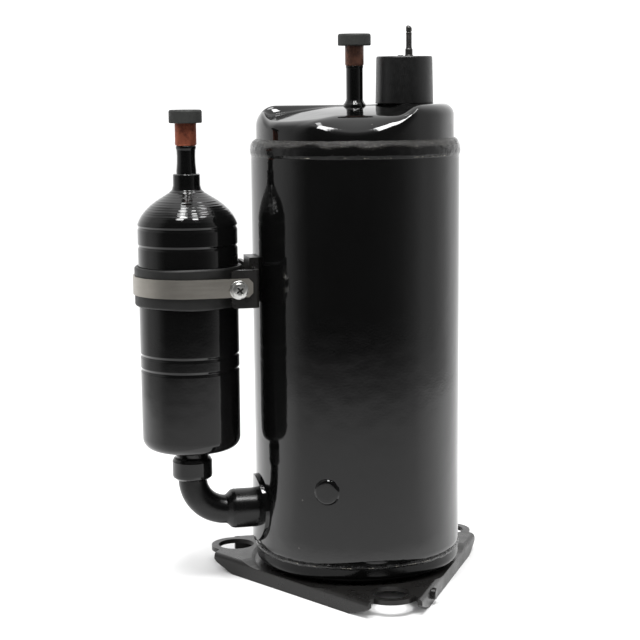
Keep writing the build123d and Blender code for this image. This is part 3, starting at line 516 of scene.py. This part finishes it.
weld_low = span_mm("top_weld")[0]
bead = rounded([(R - 2.5, weld_low - 0.5, 0), (R, weld_low - 0.5, 0), (R + 0.12, weld_low, 0.3),
                (R + 0.5, weld_low + 1.3, 1.4), (R + 0.56, weld_low + 3.2, 1.8),
                (R + 0.1, weld_low + 5.4, 2.4), (R - 1.1, weld_low + 7.6, 1.6),
                (R - 2.8, weld_low + 8.7, 0.6), (R - 4.0, weld_low + 9.2, 0)], 6)


def bead_shape(r, z, angle):
    """Lumps of weld metal, fading out at the bead's lower edge, where it meets the shell."""
    out, up = r.copy(), z.copy()
    for i in range(r.shape[0]):
        for k in range(r.shape[1]):
            x, y, h = r[i, k] * math.cos(angle[i, k]), r[i, k] * math.sin(angle[i, k]), z[i, k]
            share = min(1.0, max(0.0, (h - weld_low + 0.4) / 1.5))
            lump = 0.13 * ripple(x, y, h * 2.0, 5.0, 3.1) + 0.08 * ripple(x, y, h, 1.6, 8.2)
            out[i, k] += share * lump
            if i > 2:  # the lowest rings stay level
                up[i, k] += 0.35 * ripple(x, y, 0, 7.0, 1.7) * share
    return out, up


lathe("top_weld_bead", bead, SHELL, weld, "housing", "weld_metal", "top_weld",
      segments=540, shape=bead_shape)

seam_low, seam_top = span_mm("bottom_weld")
seam = rounded([(R - 1.0, seam_low - 0.2, 0), (R - 0.05, seam_low, 0.2), (R + 0.34, seam_low + 0.9, 0.5),
                (R + 0.34, seam_low + 1.4, 0.5), (R - 0.05, seam_top, 0.2),
                (R - 1.0, seam_top + 0.2, 0)], 3, 0.1)


def seam_shape(r, z, angle):
    """The narrow lower seam wanders a little up and down."""
    out, up = r.copy(), z.copy()
    for i in range(r.shape[0]):
        for k in range(r.shape[1]):
            x, y = r[i, k] * math.cos(angle[i, k]), r[i, k] * math.sin(angle[i, k])
            out[i, k] += 0.16 * ripple(x, y, z[i, k], 2.6, 5.0) - 0.04
            up[i, k] += 0.35 * ripple(x, y, 0, 6.0, 2.2)
    return out, up


lathe("bottom_seam", seam, SHELL, low_weld, "housing", "weld_metal", "bottom_weld",
      segments=540, shape=seam_shape)

belly = rounded([(50.4, 16.5, 0), (53.1, 16.5, 0), (53.1, 11.2, 0), (55.95, 11.1, 0.2),
                 (55.95, 2.45, 8.2), (43.5, 2.45, 2.5), (40.2, 0.0, 3.0), (20, -2.4, 60),
                 (0, -2.95, 0)], 9)
# The bottom cap wears the darker enamel: painted shade under the shell.
lathe("bottom_cap_skin", belly, SHELL, painted_shade_enamel, "housing", "shell_paint", "bottom_cap", segments=240)


# ----------------------------------------------------------------- top cap --
def smooth_max(a, b, k):
    """The larger of two fields, with the crease between them rounded over a width k."""
    h = np.maximum(k - np.abs(a - b), 0) / k
    return np.maximum(a, b) + h * h * k / 4


def smooth_min(a, b, k):
    return -smooth_max(-a, -b, k)


CAP_R = radius_mm("top_cap")
CAP_TOP = span_mm("top_cap")[1] - 0.5
PANEL_WAY = math.radians(-103.7)  # the way the sloped panel falls


def cap_surface(p):
    """Distance-like field of the pressed cap, in mm: below 0 is inside.

    A round can with a pressed recess. Its floor is a panel that slopes to the front and to the left,
    rolls over a lip at the front, and rises again behind, at the left and under the raised pad that
    carries the terminal. w runs down the panel, and u runs across it.
    """
    x, y, z = p
    w = x * math.cos(PANEL_WAY) + y * math.sin(PANEL_WAY)
    u = -x * math.sin(PANEL_WAY) + y * math.cos(PANEL_WAY)
    falls_left = 0.115 * np.maximum(-(u + 10.0), 0) ** 1.05
    panel = 252.1 - 0.142 * w + 0.012 * u - falls_left
    lip = 246.2 - 0.72 * (w - 41.5) + u ** 2 / 260.0
    floor = smooth_min(panel, lip, 2.4)
    past_left, past_back = -0.75 * (u + 46.0), -0.12 * (u + 31.0) - 0.99 * (w - 4.0)
    floor = smooth_max(floor, floor + 1.9 * smooth_max(past_left, past_back, 3.0), 2.4)
    pad_wall = 242.6 + 0.95 * (x - 10.2)
    floor = smooth_max(floor, pad_wall, 3.0)
    # The can's top edge is sharper and a little higher at the terminal's side.
    edge_top = 6.2 + 4.8 * np.clip((14.0 - x) / 22.0, 0, 1)
    top = CAP_TOP + 0.1 + 0.6 * np.clip((x - 8.0) / 12.0, 0, 1)
    q = np.stack([np.hypot(x, y) - (CAP_R - edge_top), z - (top - edge_top)])
    can = np.hypot(*np.maximum(q, 0)) + np.minimum(np.max(q, 0), 0) - edge_top
    edge_round = 3.6 + 3.0 * np.clip((w - 32.0) / 10.0, 0, 1)
    return smooth_max(can, (z - floor) * 0.9, edge_round)


CAP_ROWS, CAP_TURNS = 190, 340
TOP_ROWS, TOP_FALL = 50, 22  # rows spent on the middle of the top, and the degrees they cover


def cap_points():
    """Rays from a point on the axis, low enough to see the whole cap, each stopped at its surface."""
    centre = np.array((0.0, 0.0, 170.0))[:, None, None]
    fall = np.concatenate([np.linspace(0.0, TOP_FALL, TOP_ROWS, endpoint=False),
                           np.linspace(TOP_FALL, 44.6, CAP_ROWS - TOP_ROWS)])
    fall = np.radians(np.maximum(fall, 0.02))[:, None]
    spin = (np.arange(CAP_TURNS) * (2 * math.pi / CAP_TURNS))[None, :]
    ray = np.stack([np.sin(fall) * np.cos(spin), np.sin(fall) * np.sin(spin),
                    np.cos(fall) * np.ones_like(spin)])
    near, far = np.full(ray.shape[1:], 50.0), np.full(ray.shape[1:], 130.0)
    for _ in range(34):
        mid = (near + far) / 2
        inside = cap_surface(centre + ray * mid) < 0
        near, far = np.where(inside, mid, near), np.where(inside, far, mid)
    return (centre + ray * near).transpose(1, 2, 0).reshape(-1, 3)


faces = [(a, d, c, b) for a, b, c, d in quads(CAP_ROWS, CAP_TURNS)]
faces.append(tuple(range(CAP_TURNS)))
weld_poles(make("top_cap_skin", cap_points(), faces, cap_paint, "housing", "shell_paint", "top_cap"))

# ------------------------------------------------------------- plug welds ---
PLUG_SIDES = 64
PLUG_PROFILE = [(0.0, 0.88), (2.0, 0.88), (3.8, 0.86), (5.2, 0.81), (6.0, 0.68), (6.4, 0.46),
                (6.65, 0.15), (6.9, -0.04), (7.3, -0.08)]  # (radius, height over the shell)
SHADE_FROM = 4  # the first ring of faces of the disc's sloping edge, where the painted shade may start
plug_z = sum(span("plug_welds")) / 2 / MM
one_plug = [(a, d, c, b) for a, b, c, d in quads(len(PLUG_PROFILE), PLUG_SIDES)]
points, faces = [], []
for which, degrees in enumerate((0, 120, 240)):
    base = len(points)
    cos_a, sin_a = math.cos(math.radians(degrees)), math.sin(math.radians(degrees))
    for radius, up in PLUG_PROFILE:
        for k in range(PLUG_SIDES):
            t = 2 * math.pi * k / PLUG_SIDES
            off, rise = radius * math.cos(t), radius * math.sin(t)
            shell_out = math.sqrt(max((R + 0.04) ** 2 - off ** 2, 0))
            out = shell_out + up + 0.05 * ripple(off, rise, which * 9, 2.5)
            points.append((out * cos_a - off * sin_a, out * sin_a + off * cos_a, plug_z + rise))
    faces += [tuple(base + corner for corner in face) for face in one_plug]
plugs = make("plug_weld_discs", points, faces, paint, "housing", "shell_paint", "plug_welds")
plugs.data.materials.append(painted_shade_enamel.material)
for face in plugs.data.polygons:  # the downward edge of each disc gets the darker enamel: painted shade
    ring, k = face.index // PLUG_SIDES % (len(PLUG_PROFILE) - 1), face.index % PLUG_SIDES
    if ring >= SHADE_FROM and math.sin(2 * math.pi * (k + 0.5) / PLUG_SIDES) < -0.5:
        face.material_index = 1
weld_poles(plugs)

# ------------------------------------------------------------ accumulator ---
GROOVES = (112.7, 120.3, 178.4, 188.4)  # rolled grooves, in two pairs
CONE_LOW, CONE_TOP = 191.0, 208.5
acc_r = radius_mm("accumulator_shell")
wall = [(7.9, 65.65, 0), (10.4, 65.9, 1.5), (16.5, 67.7, 6), (acc_r - 0.1, 70.2, 10), (acc_r, 84.0, 4)]
for z in GROOVES:
    wall += [(acc_r, z - 1.25, 0.7), (acc_r - 0.62, z, 0.75), (acc_r, z + 1.25, 0.7)]
wall += [(26.35, 190.3, 2), (25.6, 192.2, 4), (24.3, 194.5, 5), (22.3, 197.0, 6), (19.4, 199.8, 8),
         (16.2, 202.2, 8), (12.6, 204.4, 6), (9.4, 206.4, 3), (7.8, 207.9, 2.2), (7.2, 210.2, 1.5),
         (7.15, 215.7, 0.4), (6.7, 216.3, 0.3), (5.0, 216.3, 0)]


def cone_parts(r0, z0, r1, z1):
    """Short steps on the cone, to carry its rings, and long ones elsewhere."""
    return int(math.hypot(r1 - r0, z1 - z0) / (0.28 if CONE_LOW < z0 < CONE_TOP else 6.0))


def spun_rings(r, z, angle):
    """Fine forming rings left by the spinning tool on the cone."""
    share = np.clip((z - 193.0) / 3.0, 0, 1) * np.clip((208.6 - z) / 1.5, 0, 1)
    wave = 0.055 * np.sin(z * 5.2 + 0.4 * np.sin(angle)) + 0.035 * np.sin(z * 8.3 + 1.0)
    return r + share * wave, z


lathe("accumulator_skin", resample(rounded(wall, 6, 0.25), cone_parts), ACC, accumulator_paint,
      "housing", "shell_paint", "accumulator_shell", segments=200, shape=spun_rings)

inlet = rounded([(5.3, 215.5, 0), (5.3, 218.0, 3), (4.95, 221.5, 6), (4.85, 225.5, 6), (5.0, 228.6, 1.5),
                 (5.35, 229.7, 0.5), (5.35, 230.7, 0.35), (4.6, 231.0, 0)])
lathe("accumulator_inlet_skin", inlet, ACC, accumulator_paint,
      "housing", "shell_paint", "accumulator_inlet", segments=96)

ferrule = rounded([(7.7, 51.2, 0), (9.0, 51.5, 0.8), (10.7, 52.9, 1.0), (10.9, 54.2, 1.2),
                   (10.85, 61.6, 1.2), (10.0, 63.2, 0.7), (9.0, 63.9, 0.8), (8.9, 65.9, 0)])


def braze_wobble(r, z, angle):
    """Uneven braze where the ferrule meets the accumulator."""
    share = np.clip((z - 62.5) / 1.0, 0, 1)
    return r + share * 0.12 * np.sin(5 * angle + z), z


lathe("outlet_ferrule_skin", ferrule, ACC, accumulator_paint,
      "housing", "shell_paint", "outlet_ferrule", segments=120, shape=braze_wobble)


# ---------------------------------------------------- suction elbow, sleeve -
PIPE_SIDES = 96


def pipe(name, path, radii, node):
    """Round pipe in the XZ plane through the given centres, in mm."""
    path, points = np.asarray(path, float), []
    along = np.gradient(path, axis=0)
    along /= np.linalg.norm(along, axis=1)[:, None]
    side = np.array((0.0, 1.0, 0.0))
    for centre, d, r in zip(path, along, radii):
        up = np.cross(d, side)
        for k in range(PIPE_SIDES):
            t = 2 * math.pi * k / PIPE_SIDES
            points.append(centre + r * (math.cos(t) * side + math.sin(t) * up))
    faces = quads(len(path), PIPE_SIDES)
    weld_poles(make(name, points, faces, pipe_paint, "housing", "shell_paint", node))


BEND, PIPE_R = 18, 7.8
suction_z = sum(span("suction_sleeve")) / 2 / MM
acc_x = ACC[0] / MM
path = [(acc_x, 0, z) for z in np.linspace(66, suction_z + BEND + 0.5, 8)]
path += [(acc_x + BEND - BEND * math.cos(t), 0, suction_z + BEND - BEND * math.sin(t))
         for t in np.linspace(0, math.pi / 2, 30)]
path += [(x, 0, suction_z) for x in np.linspace(acc_x + BEND + 0.5, -62, 8)]
pipe("suction_elbow_skin", path, [PIPE_R] * len(path), "suction_elbow")

sleeve = rounded([(-74.2, 7.7, 0), (-73.3, 8.1, 0.6), (-70.9, 10.3, 1.4), (-69.2, 10.75, 1.2),
                  (-51.2, 10.75, 0)], 6)
pipe("suction_sleeve_skin", [(x, 0, suction_z) for x, r in sleeve], [r for x, r in sleeve],
     "suction_sleeve")

# ------------------------------------------------------------ rubber band ---
band_low, band_top = span_mm("rubber_band")
band_middle = (band_low + band_top) / 2
section = rounded([(26.45, band_low + 0.3, 0), (26.9, band_low, 0.4), (28.3, band_low, 0.6),
                   (28.7, band_low + 0.9, 0.8), (28.6, band_low + 4.5, 2), (28.25, band_middle, 8),
                   (28.6, band_top - 5.2, 2), (28.7, band_top - 0.9, 0.7), (28.2, band_top, 0.5),
                   (26.9, band_top, 0.3), (26.45, band_top - 0.4, 0)])


def slack(r, z, angle):
    """The band's two lips, clear of the strap, lie a little loose and wavy."""
    edge = np.clip((np.abs(z - band_middle) - 5.5) / 4.8, 0, 1)
    out = r - 0.25 * edge * (1 + np.sin(3 * angle + 0.7)) * (r > 27.5) * 0.5
    wave = 0.22 * np.sin(2 * angle + 1.2) + 0.12 * np.sin(5 * angle)
    return out, z + edge * wave * -np.sign(z - band_middle)


lathe("rubber_band_skin", section, ACC, band_rubber, "housing", "band_rubber", "rubber_band", shape=slack)

# ------------------------------------------------------------- port plugs ---
for name, node, axis, bore in (("suction_plug", "suction_cap", ACC, 5.78),
                               ("discharge_plug", "discharge_cap", SHELL, 5.08)):
    low, high = span_mm(node)
    r = radius_mm(node)
    outline = rounded([(bore, high - 3.3, 0), (bore, low + 0.35, 0), (bore + 0.35, low, 0.3),
                       (r - 0.25, low, 0.35), (r, low + 0.5, 0.3), (r, high - 0.9, 0.5),
                       (r - 0.5, high, 0.6), (r * 0.5, high - 0.02, 0), (0, high - 0.03, 0)])
    lathe(name + "_skin", outline, axis, cap_rubber, name, "cap_rubber", node, segments=128)

for node, axis, finish, slot, r, tube_wall in (
        ("suction_stub", ACC, copper_red, "copper_suction", 5.7, 0.8),
        ("discharge_stub", SHELL, copper_dark, "copper_discharge", 5.0, 0.95)):
    low, high = span_mm(node)
    inner = r - tube_wall
    outline = rounded([(r - 0.75, low, 0), (r - 0.3, low + 0.1, 0.3), (r, low + 0.9, 0.6),
                       (r, high - 0.25, 0.2), (r - 0.3, high, 0.2), (inner + 0.2, high, 0.1),
                       (inner, high - 0.2, 0.1), (inner, low + 2.0, 0)], 4, 0.1)
    lathe(node + "_skin", outline, axis, finish, "housing", slot, node, segments=96)

shoulder = span_mm("discharge_stub")[0]
outline = rounded([(4.5, 248, 0), (4.5, shoulder - 1.3, 0.6), (4.78, shoulder - 0.7, 0.3),
                   (4.75, shoulder - 0.05, 0.1), (4.2, shoulder, 0)], 4)
lathe("discharge_tube_skin", outline, SHELL, paint, "housing", "shell_paint", "discharge_tube", segments=96)


def fillet_wobble(r, z, angle):
    """The braze ring at the discharge tube's foot is not quite round or level."""
    return r + 0.12 * np.sin(3 * angle) + 0.08 * np.sin(7 * angle + 2), z + 0.1 * np.sin(4 * angle + 1)


outline = rounded([(6.2, 250.4, 0), (5.9, 251.4, 0.4), (5.3, 252.2, 0.6), (4.75, 253.2, 0.5),
                   (4.45, 254.1, 0)])
lathe("discharge_braze_skin", outline, SHELL, paint, "housing", "weld_metal", "discharge_braze",
      segments=96, shape=fillet_wobble)

# --------------------------------------------------------- terminal cover ---
cover_low = span_mm("terminal_cover")[0]
cover_top = 276.7
outline = rounded([(13.2, 274.0, 0), (13.6, cover_low + 0.5, 0), (13.8, cover_low, 0.2),
                   (15.4, cover_low, 0.2), (15.6, cover_low + 0.4, 0.2), (15.13, 274.9, 0),
                   (15.0, cover_top, 2.1), (7.0, cover_top, 0), (0, cover_top - 0.05, 0)], 8)
lathe("terminal_cover_skin", outline, COVER, plastic, "cover", "cover_plastic", "terminal_cover")
nub = rounded([(1.75, cover_top - 0.1, 0), (1.55, cover_top + 0.35, 0.25), (1.1, cover_top + 0.55, 0.3),
               (0, cover_top + 0.58, 0)], 4, 0.05)
lathe("terminal_cover_gate_mark", nub, (COVER[0] - 0.0026, -0.002), plastic,
      "cover", "cover_plastic", segments=40)

stud_top = span_mm("terminal_stud")[1]
THREAD_LOW, THREAD_TOP, THREAD_PITCH = 281.3, 288.7, 0.7
stud = rounded([(2.3, 251.5, 0), (2.3, 277.0, 0.2), (2.02, 277.4, 0.2), (2.0, 280.3, 0.2),
                (1.62, 280.9, 0.2), (1.6, 289.0, 0.15), (1.32, 289.35, 0.1), (1.32, 289.65, 0.1),
                (1.6, 290.0, 0.15), (1.6, stud_top - 0.9, 0.35), (1.15, stud_top - 0.05, 0.3),
                (0, stud_top, 0)], 4, 0.08)


def thread_parts(r0, z0, r1, z1):
    """Short steps above the cover, to carry the thread."""
    return int(abs(z1 - z0) / 0.14) if z0 > 276 else 1


def thread(r, z, angle):
    """Fine rolled thread on the slender part, and a tip sheared at a slant."""
    share = np.clip((z - THREAD_LOW) / 0.5, 0, 1) * np.clip((THREAD_TOP - z) / 0.5, 0, 1)
    phase = (z / THREAD_PITCH - angle / (2 * math.pi)) % 1.0
    out = r - share * 0.16 * np.abs(2 * phase - 1)
    tip = np.clip((z - 290.3) / 2.6, 0, 1)
    return out, z - tip * 0.9 * (0.5 - 0.5 * np.cos(angle - 2.7)) * (r / 1.6)


lathe("terminal_stud_skin", resample(stud, thread_parts), STUD, dark_steel,
      "housing", "dark_steel", "terminal_stud", segments=48, shape=thread)


# ------------------------------------------------------------ clamp screw ---
SCREW_SIDES = 72
SCREW_FACE = 3.99  # the head's height over the strap
HEX_TURN, CROSS_TURN = math.radians(12), math.radians(37)
CROSS_R, CROSS_HALF, CROSS_SLOPE = 2.25, 0.34, 0.16  # the recess: reach, half width of an arm, its edge


def flat_at(t, half_width):
    """Distance from the middle to the side of a hexagon, of half_width across flats, at angle t."""
    return half_width / math.cos((t - HEX_TURN + math.pi / 6) % (math.pi / 3) - math.pi / 6)


def cross_depth(x, z):
    """Depth of the cross recess under the face at x, z."""
    u = x * math.cos(CROSS_TURN) + z * math.sin(CROSS_TURN)
    v = -x * math.sin(CROSS_TURN) + z * math.cos(CROSS_TURN)
    arm, reach = min(abs(u), abs(v)), max(abs(u), abs(v))
    groove = max(0.0, 1 - max(0.0, arm - CROSS_HALF) / CROSS_SLOPE)
    return groove * max(0.0, min(1.0, (CROSS_R - reach) / 0.5)) * (0.9 + 0.5 * max(0.0, 1 - reach / 1.4))


def screw_head():
    """Hex-washer head with a cross recess: rings of points from the washer in to the middle."""
    low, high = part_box("clamp_screw")
    cx, cz = (low.x + high.x) / 2 / MM, (low.z + high.z) / 2 / MM
    y0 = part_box("clamp_strap")[0].y / MM
    work = bmesh.new()

    def ring(radius, height, hexagon=0.0):
        made = []
        for k in range(SCREW_SIDES):
            t = 2 * math.pi * k / SCREW_SIDES
            r = min(radius, flat_at(t, hexagon)) if hexagon else radius
            at = Vector((cx + r * math.cos(t), y0 - height, cz + r * math.sin(t)))
            made.append(work.verts.new(at * MM))
        return made

    def face_ring(radius):
        made = []
        for k in range(SCREW_SIDES):
            t = 2 * math.pi * k / SCREW_SIDES
            x, z = radius * math.cos(t), radius * math.sin(t)
            at = Vector((cx + x, y0 - SCREW_FACE + cross_depth(x, z), cz + z))
            made.append(work.verts.new(at * MM))
        return made

    def join(a, b):
        for k in range(SCREW_SIDES):
            n = (k + 1) % SCREW_SIDES
            work.faces.new((a[k], a[n], b[n], b[k]))

    rings = [ring(4.9, 0.0), ring(4.9, 0.45), ring(4.85, 0.72), ring(4.65, 0.88), ring(4.35, 0.92),
             ring(4.42, 1.0, 3.95), ring(4.46, 2.6, 4.0), ring(4.28, 3.15, 3.98),
             ring(3.9, 3.55), ring(3.3, 3.82), ring(2.6, 3.96)]
    rings += [face_ring(radius) for radius in np.linspace(2.45, 0.0, 13)]
    for a, b in zip(rings[:-1], rings[1:]):
        join(a, b)
    bmesh.ops.remove_doubles(work, verts=work.verts, dist=1e-7)
    bmesh.ops.recalc_face_normals(work, faces=work.faces)
    mesh = bpy.data.meshes.new("clamp_screw_skin")
    work.to_mesh(mesh)
    work.free()
    mesh.materials.append(zinc.material)
    # Faces deep in the cross recess take the dark material: painted shade.
    mesh.materials.append(recess_painted_shade.material)
    for face in mesh.polygons:
        face.use_smooth = True
        depth = face.center.y / MM - (y0 - SCREW_FACE)
        if depth > 0.3 and math.hypot(face.center.x / MM - cx, face.center.z / MM - cz) < 2.4:
            face.material_index = 1
    obj = add_object("clamp_screw_skin", mesh)
    edge = obj.modifiers.new("crisp", "EDGE_SPLIT")
    edge.split_angle = math.radians(38)
    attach(obj, "housing")
    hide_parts("clamp_screw")


screw_head()

# --------------------------------------------- CAD nodes kept, edges eased ---
for name, width in (("foot_plate", 0.35), ("holder_bracket", 0.3), ("clamp_strap", 0.1),
                    ("suction_collar", 0.45), ("earth_stud", 0.25), ("clamp_nut", 0.15)):
    ease = nodes[name].modifiers.new("eased", "BEVEL")
    ease.width = width * MM
    ease.segments = 3
    ease.limit_method = "ANGLE"
    ease.angle_limit = math.radians(32)

# ------------------------------------------------------------------ studio --
WHITE = 0.86
WORLD_LIGHT = 1.25
floor_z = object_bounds()[0].z - 0.0001
floor_finish = Finish("studio_floor", (WHITE, WHITE, WHITE), 0.9)
floor_finish.colour(floor_finish.blend(floor_finish.noise(3.0, 3), (WHITE * 0.985,) * 3, (WHITE,) * 3))
mesh = bpy.data.meshes.new("studio_floor")
mesh.from_pydata([(-6, -6, floor_z), (6, -6, floor_z), (6, 6, floor_z), (-6, 6, floor_z)], [],
                 [(0, 1, 2, 3)])
mesh.materials.append(floor_finish.material)
add_object("studio_floor", mesh)

world = bpy.data.worlds.new("studio")
bpy.context.scene.world = world
world.use_nodes = True
world.node_tree.nodes["Background"].inputs["Color"].default_value = (1, 1, 1, 1)
world.node_tree.nodes["Background"].inputs["Strength"].default_value = WORLD_LIGHT

CAM_AT = Vector((-0.21187, -0.86619, 0.2675))
CAM_DIR = Vector((0.213774, 0.965688, -0.147475))
CAM_ROLL = math.radians(-0.528)
CAM_LENS, CAM_SENSOR = 92.73, 36
front = math.atan2(CAM_AT.y, CAM_AT.x)


def screen(name, points, faces, levels, alphas):
    """An emissive card, only seen by glossy rays. Each corner has a level of light and a cover."""
    mesh = bpy.data.meshes.new(name)
    mesh.from_pydata(points, [], faces)
    tone = mesh.color_attributes.new("tone", "FLOAT_COLOR", "POINT")
    for i, (level, alpha) in enumerate(zip(levels, alphas)):
        tone.data[i].color = (level, level, level, alpha)
    material = bpy.data.materials.new(name)
    material.use_nodes = True
    tree = material.node_tree
    tree.nodes.clear()
    out = tree.nodes.new("ShaderNodeOutputMaterial")
    mixed = tree.nodes.new("ShaderNodeMixShader")
    clear = tree.nodes.new("ShaderNodeBsdfTransparent")
    glow = tree.nodes.new("ShaderNodeEmission")
    data = tree.nodes.new("ShaderNodeVertexColor")
    data.layer_name = "tone"
    tree.links.new(data.outputs["Color"], glow.inputs["Color"])
    tree.links.new(data.outputs["Alpha"], mixed.inputs[0])
    tree.links.new(clear.outputs[0], mixed.inputs[1])
    tree.links.new(glow.outputs[0], mixed.inputs[2])
    tree.links.new(mixed.outputs[0], out.inputs["Surface"])
    mesh.materials.append(material)
    obj = add_object(name, mesh)
    obj.visible_camera = obj.visible_diffuse = obj.visible_transmission = obj.visible_shadow = False
    obj.visible_volume_scatter = False


# What the paint mirrors round the camera: (degrees from the camera's side, level of light, cover).
ROUND_TENT = [(-150, 1.45, 0.0), (-127, 1.2, 0.9), (-99, 0.6, 1.0), (-86, 0.6, 1.0), (-72, 0.42, 1.0),
              (-62, 0.16, 1.0), (-52, 0.03, 1.0), (-20, 0.015, 1.0), (15, 0.02, 1.0), (35, 0.05, 1.0),
              (50, 0.12, 1.0), (64, 0.30, 1.0), (77, 0.55, 1.0), (92, 0.6, 1.0), (110, 0.85, 1.0),
              (127, 1.25, 0.9), (150, 1.3, 0.0)]
FLOOR_FADE = 104, 40  # the screen's part on the floor is gone at 104 degrees, over the last 40
TENT_NEAR = 0.6  # metres, inside which that fade holds


def tent(name, rings):
    """The open dark front of a light tent: rings of (radius, height, cover, is it floor)."""
    azimuths = np.arange(-150, 150.1, 3.0)
    where, tones, covers = zip(*ROUND_TENT)
    tone = np.interp(azimuths, where, tones)
    cover = np.interp(azimuths, where, covers)
    points, levels, alphas, faces = [], [], [], []
    for radius, z, share, on_floor in rings:
        for a, t, c in zip(azimuths, tone, cover):
            angle = front + math.radians(a)
            if on_floor and radius < TENT_NEAR:
                c = c * min(1.0, max(0.0, (FLOOR_FADE[0] - abs(a)) / FLOOR_FADE[1]))
            points.append((radius * math.cos(angle), radius * math.sin(angle), z))
            levels.append(t)
            alphas.append(c * share)
    n = len(azimuths)
    for i in range(len(rings) - 1):
        for k in range(n - 1):
            faces.append((i * n + k, i * n + k + 1, (i + 1) * n + k + 1, (i + 1) * n + k))
    screen(name, points, faces, levels, alphas)


on_floor_z = floor_z + 0.0004
floor_rings = [(0.12, 0.0), (0.15, 0.38), (0.27, 0.47), (0.38, 0.50), (0.47, 0.54), (0.56, 0.65),
               (0.65, 0.78), (0.80, 0.93), (0.95, 1.0)]
standing_rings = [(0.97, on_floor_z + 0.02, 1.0), (0.97, 0.42, 1.0), (0.92, 0.74, 1.0), (0.79, 1.02, 1.0),
                  (0.62, 1.20, 0.8), (0.48, 1.28, 0.0)]
tent("front_screen", [(radius, on_floor_z, share, True) for radius, share in floor_rings]
     + [(*ring, False) for ring in standing_rings])

LAMP_HEIGHT = 0.98
LAMP_AIM = Vector((0, 0, 0.2))


def softbox(name, azimuth, distance, size, power):
    """Rectangular lamp at an azimuth from the camera's side, turned to the object."""
    light = bpy.data.lights.new(name, "AREA")
    light.shape = "RECTANGLE"
    light.size, light.size_y = size
    light.energy = power
    obj = add_object(name, light)
    angle = front + math.radians(azimuth)
    obj.location = (distance * math.cos(angle), distance * math.sin(angle), LAMP_HEIGHT)
    obj.rotation_mode = "QUATERNION"
    obj.rotation_quaternion = (obj.location - LAMP_AIM).to_track_quat("Z", "Y")
    obj.visible_camera = False
    return obj


softbox("lamp_left", -29, 0.41, (0.19, 0.34), 5.2)
softbox("lamp_right", 24, 0.40, (0.15, 0.26), 3.6)


def overhead(name, aside, forward, size, power):
    """Long strip lamp overhead, running from front to back, beside the object."""
    obj = softbox(name, 0, 0, size, power)
    along = Vector((math.cos(front), math.sin(front), 0))
    across = Vector((-math.sin(front), math.cos(front), 0))
    obj.location = along * forward + across * aside + Vector((0, 0, LAMP_HEIGHT))
    obj.rotation_quaternion = Matrix.Rotation(front - math.pi / 2, 3, "Z").to_quaternion()


overhead("strip_left", -0.17, 0.02, (0.10, 0.44), 1.3)
overhead("strip_right", 0.27, 0.02, (0.12, 0.44), 1.3)

# ------------------------------------------------------------------ camera --
camera = add_object("camera", bpy.data.cameras.new("camera"))
camera.data.sensor_width = CAM_SENSOR
camera.data.lens = CAM_LENS
camera.data.clip_start, camera.data.clip_end = 0.01, 50
camera.location = CAM_AT
camera.rotation_mode = "QUATERNION"
roll = Matrix.Rotation(CAM_ROLL, 3, "Z").to_quaternion()
camera.rotation_quaternion = CAM_DIR.to_track_quat("-Z", "Y") @ roll
bpy.context.scene.camera = camera
bpy.context.scene.view_settings.view_transform = "Standard"
